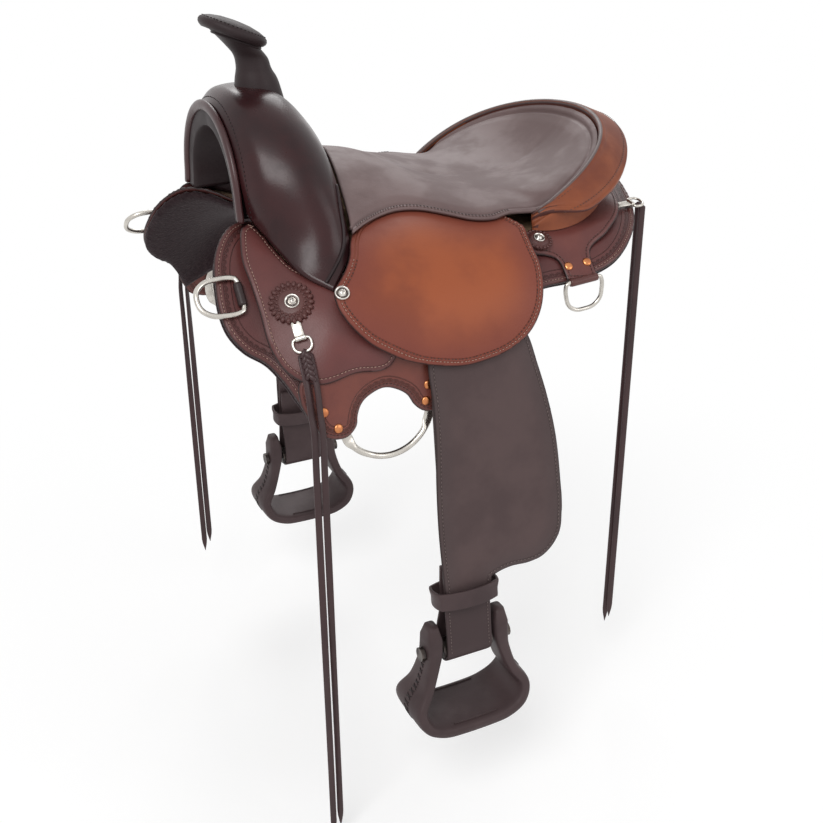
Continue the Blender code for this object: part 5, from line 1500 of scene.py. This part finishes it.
def seat_controls():
    """Rows of the seat from the swell to the rear centre: middle, two shoulders and edge."""
    rows = 18
    front_rows = rows * 9 // 17
    out = []
    for i in range(rows):
        if i < front_rows:
            q = along([(*p, 0) for p in SEAM], i / (front_rows - 1))
            edge, rise = on_side(q.x, q.y, SEAT_N, 1), 12
        else:
            w = (i - front_rows + 0.35) / (rows - front_rows - 0.65)
            deg = mix(RIM_END - 4, 0, w)
            edge = rim_point(deg, BEAD_R, SEAT_IN)
            rise = mix(-4, -27, ease((RIM_END - deg) / 80))
        start = along([(*p, 0) for p in SEAT_LINE], i / (rows - 1))
        spine = Vector((start.x, 0, start.y))
        flat = Vector((edge.x - spine.x, edge.y - spine.y, 0))
        p1, p2 = spine + flat * 0.45, spine + flat * 0.8
        p2.z = edge.z + rise
        out.append((spine, p1, p2, edge))
    for _ in range(3):
        for k in (1, 2):
            row = [q[k].z for q in out]
            for i in range(1, rows - 1):
                out[i][k].z = (row[i - 1] + row[i] * 2 + row[i + 1]) / 4
    for p in out[-1]:
        p.y = 0
    return out


def make_seat():
    controls = seat_controls()

    def crown(w, span):
        """Padding over the plain seat: a sewn channel near the edge and a soft swell inside."""
        inside = (1 - w) * span
        channel = math.exp(-((inside - 13) / 2.2) ** 2)
        lip = math.exp(-((inside - 6.5) / 4.5) ** 2)
        swell = ease((inside - 12) / 22)
        return lip * 1.2 - channel * 2.0 + swell * 1.6

    def plain(u, w):
        q = [along([row[k] for row in controls], u) for k in range(4)]
        return (q[0] * (1 - w) ** 3 + q[1] * 3 * w * (1 - w) ** 2 + q[2] * 3 * w * w * (1 - w)
                + q[3] * w ** 3), (q[3] - q[0]).length

    def out_of(u, w):
        a = plain(min(1, u + 0.01), w)[0] - plain(max(0, u - 0.01), w)[0]
        b = plain(u, min(1, w + 0.01))[0] - plain(u, max(0, w - 0.01))[0]
        n = a.cross(b)
        n = n.normalized() if n.length > 1e-6 else Vector((0, 0, 1))
        return n if n.z > 0 else -n

    def top(u, w):
        p, span = plain(u, w)
        n = out_of(u, w)
        if w < 0.002 or u > 0.999:
            n = Vector((n.x, 0, n.z)).normalized()
        return p + n * crown(w, span) * (ease(span / 60) if u < 0.5 else 1)

    def at(u, s):
        v = s * 2 - 1
        w = abs(v)
        w = 1 - (1 - w) ** 1.5
        p = top(u, w)
        return Vector((p.x, p.y if v >= 0 else -p.y, p.z))

    bm = bmesh.new()
    surface(bm, 90, 120, at)
    bmesh.ops.remove_doubles(bm, verts=bm.verts, dist=0.05)
    bmesh.ops.recalc_face_normals(bm, faces=bm.faces)
    if sum(f.normal.z for f in bm.faces) < 0:
        bmesh.ops.reverse_faces(bm, faces=bm.faces)
    seat = thickened(fitted("seat_cushion", bm, "seat", "seat_pad", ("seat_pad",)), 3.6)
    for name, side in SIDES:
        for k, inset in enumerate((4.5, 8)):
            places = []
            for i in range(360):
                u = mix(0.01, 0.47, i / 359)
                _, span = plain(u, 1)
                w = 1 - inset / span
                p = top(u, w)
                n = out_of(u, w)
                flip = Vector((1, side, 1))
                places.append((Vector(a * b for a, b in zip(p, flip)),
                               Vector(a * b for a, b in zip(n, flip))))
            stitched(f"seat_seam_{name}_{k}", places, "dark_thread" if k else "brown_thread",
                     "seat_pad", pitch=4, length=2.8, width=1.0)


def cantle_section(deg):
    bead, edge = rim_point(deg), roll_point(deg)
    edge = bead.lerp(edge, mix(1, 0.1, ease((deg - 78) / (ROLL_END - 78))))
    foot = base_point(deg, 0, TIP_TOP + JOCKEY_T + 2 * GAP)
    flat = Vector((edge.x - bead.x, edge.y - bead.y, 0))
    out, width = flat.normalized(), flat.length
    up = Vector((0, 0, 1))
    slope = (edge.z - bead.z) / width
    high = max(14.0, min(34.0, (bead.z - foot.z) * 0.5))
    return [bead - out * 3.2 + up * 0.4, bead + up * 2.5 - out * 2, bead + up * 3.2 + out * 3,
            bead + out * width * 0.25 + up * (slope * width * 0.25 + 4.2),
            bead + out * width * 0.5 + up * (slope * width * 0.5 + 4),
            bead + out * width * 0.78 + up * (slope * width * 0.78 + 3.4),
            edge - out * 2.5 + up * 2.2, edge, edge - out * 2.5 - up * 5,
            bead + out * width * 0.45 + up * (slope * width * 0.45 - 8),
            bead + out * 6 - up * high * 0.75, foot + out * 4 + up * 4, foot + out * 4,
            foot - out * 0.5, bead + out * 1 - up * high * 0.75, bead - out * 1.5 - up * 7]


def make_cantle():
    steps = 72
    sections = {}

    def section(deg):
        key = round(abs(deg), 3)
        if key not in sections:
            line = cantle_section(key)
            n = len(line)
            fine = []
            for i in range(n):
                a, b, c, d = line[i - 1], line[i], line[(i + 1) % n], line[(i + 2) % n]
                for k in range(3):
                    w = k / 3
                    fine.append(0.5 * (2 * b + (c - a) * w + (2 * a - 5 * b + 4 * c - d) * w * w
                                       + (3 * b - a - 3 * c + d) * w ** 3))
            sections[key] = fine
        return sections[key]

    count = len(section(0))

    def at(u, v):
        deg = mix(-ROLL_END, ROLL_END, u)
        p = section(deg)[round(v * count) % count]
        return Vector((p.x, -p.y if deg < 0 else p.y, p.z))

    bm = bmesh.new()
    surface(bm, steps * 2, count, at)
    closed(bm)
    # Faces that look downwards take the darker cantle_back finish: painted shade under the roll and
    # down its back.
    for f in bm.faces:
        if f.normal.z < -0.25:
            f.material_index = 1
    fitted("cantle_roll", bm, "cantle", "cantle_back", ("cantle_back",), extra=("cantle_back",))

    def mirrored(deg, p):
        return Vector((p.x, -p.y, p.z)) if deg < 0 else p

    degs = [mix(-RIM_END + 4, RIM_END - 4, k / 140) for k in range(141)]
    path = [mirrored(d, rim_point(abs(d), -0.4)) for d in degs]
    rod_piece("cantle_bead", path, BEAD_R * 0.95, "seat_edge", "cantle_back", sides=14)
    for label, share, lift in (("inner", 0.2, 3.9), ("outer", 0.86, 3.1)):
        places = []
        for k in range(700):
            deg = mix(-92, 92, k / 699)
            bead, edge = rim_point(abs(deg)), roll_point(abs(deg))
            p = bead.lerp(edge, share) + Vector((0, 0, lift))
            places.append((mirrored(deg, p), Vector((0.1, 0, 1)).normalized()))
        stitched(f"cantle_seam_{label}", places, "brown_thread", "cantle_back", pitch=4.6)


# CAD nodes that stay

def finish_kept_nodes():
    kept = {"lining": ("tree_fork",),
            "wood": ("tree_cantle", "tree_bar_left", "tree_bar_right", "ground_seat"),
            "leg": ("leather_loop_left", "leather_loop_right"),
            "tarnish": ("stirrup_bolt_left", "stirrup_bolt_right")}
    for finish, nodes in kept.items():
        for n in nodes:
            obj = frame["nodes"][n]
            obj.data.materials.clear()
            obj.data.materials.append(FINISH[finish])


set_up_camera()
for label, hand in SIDES:
    hang_strings(label, hand)
set_up_light()
make_floor()
for label, hand in SIDES:
    lay_leathers(label, hand)
    make_stirrup_leather(label, hand)
    make_hobble(label, hand)
    make_stirrup(label, hand)
    make_hardware(label, hand)
    make_clips(label, hand)
make_swell()
make_gullet()
make_horn()
make_seat()
make_cantle()
finish_kept_nodes()
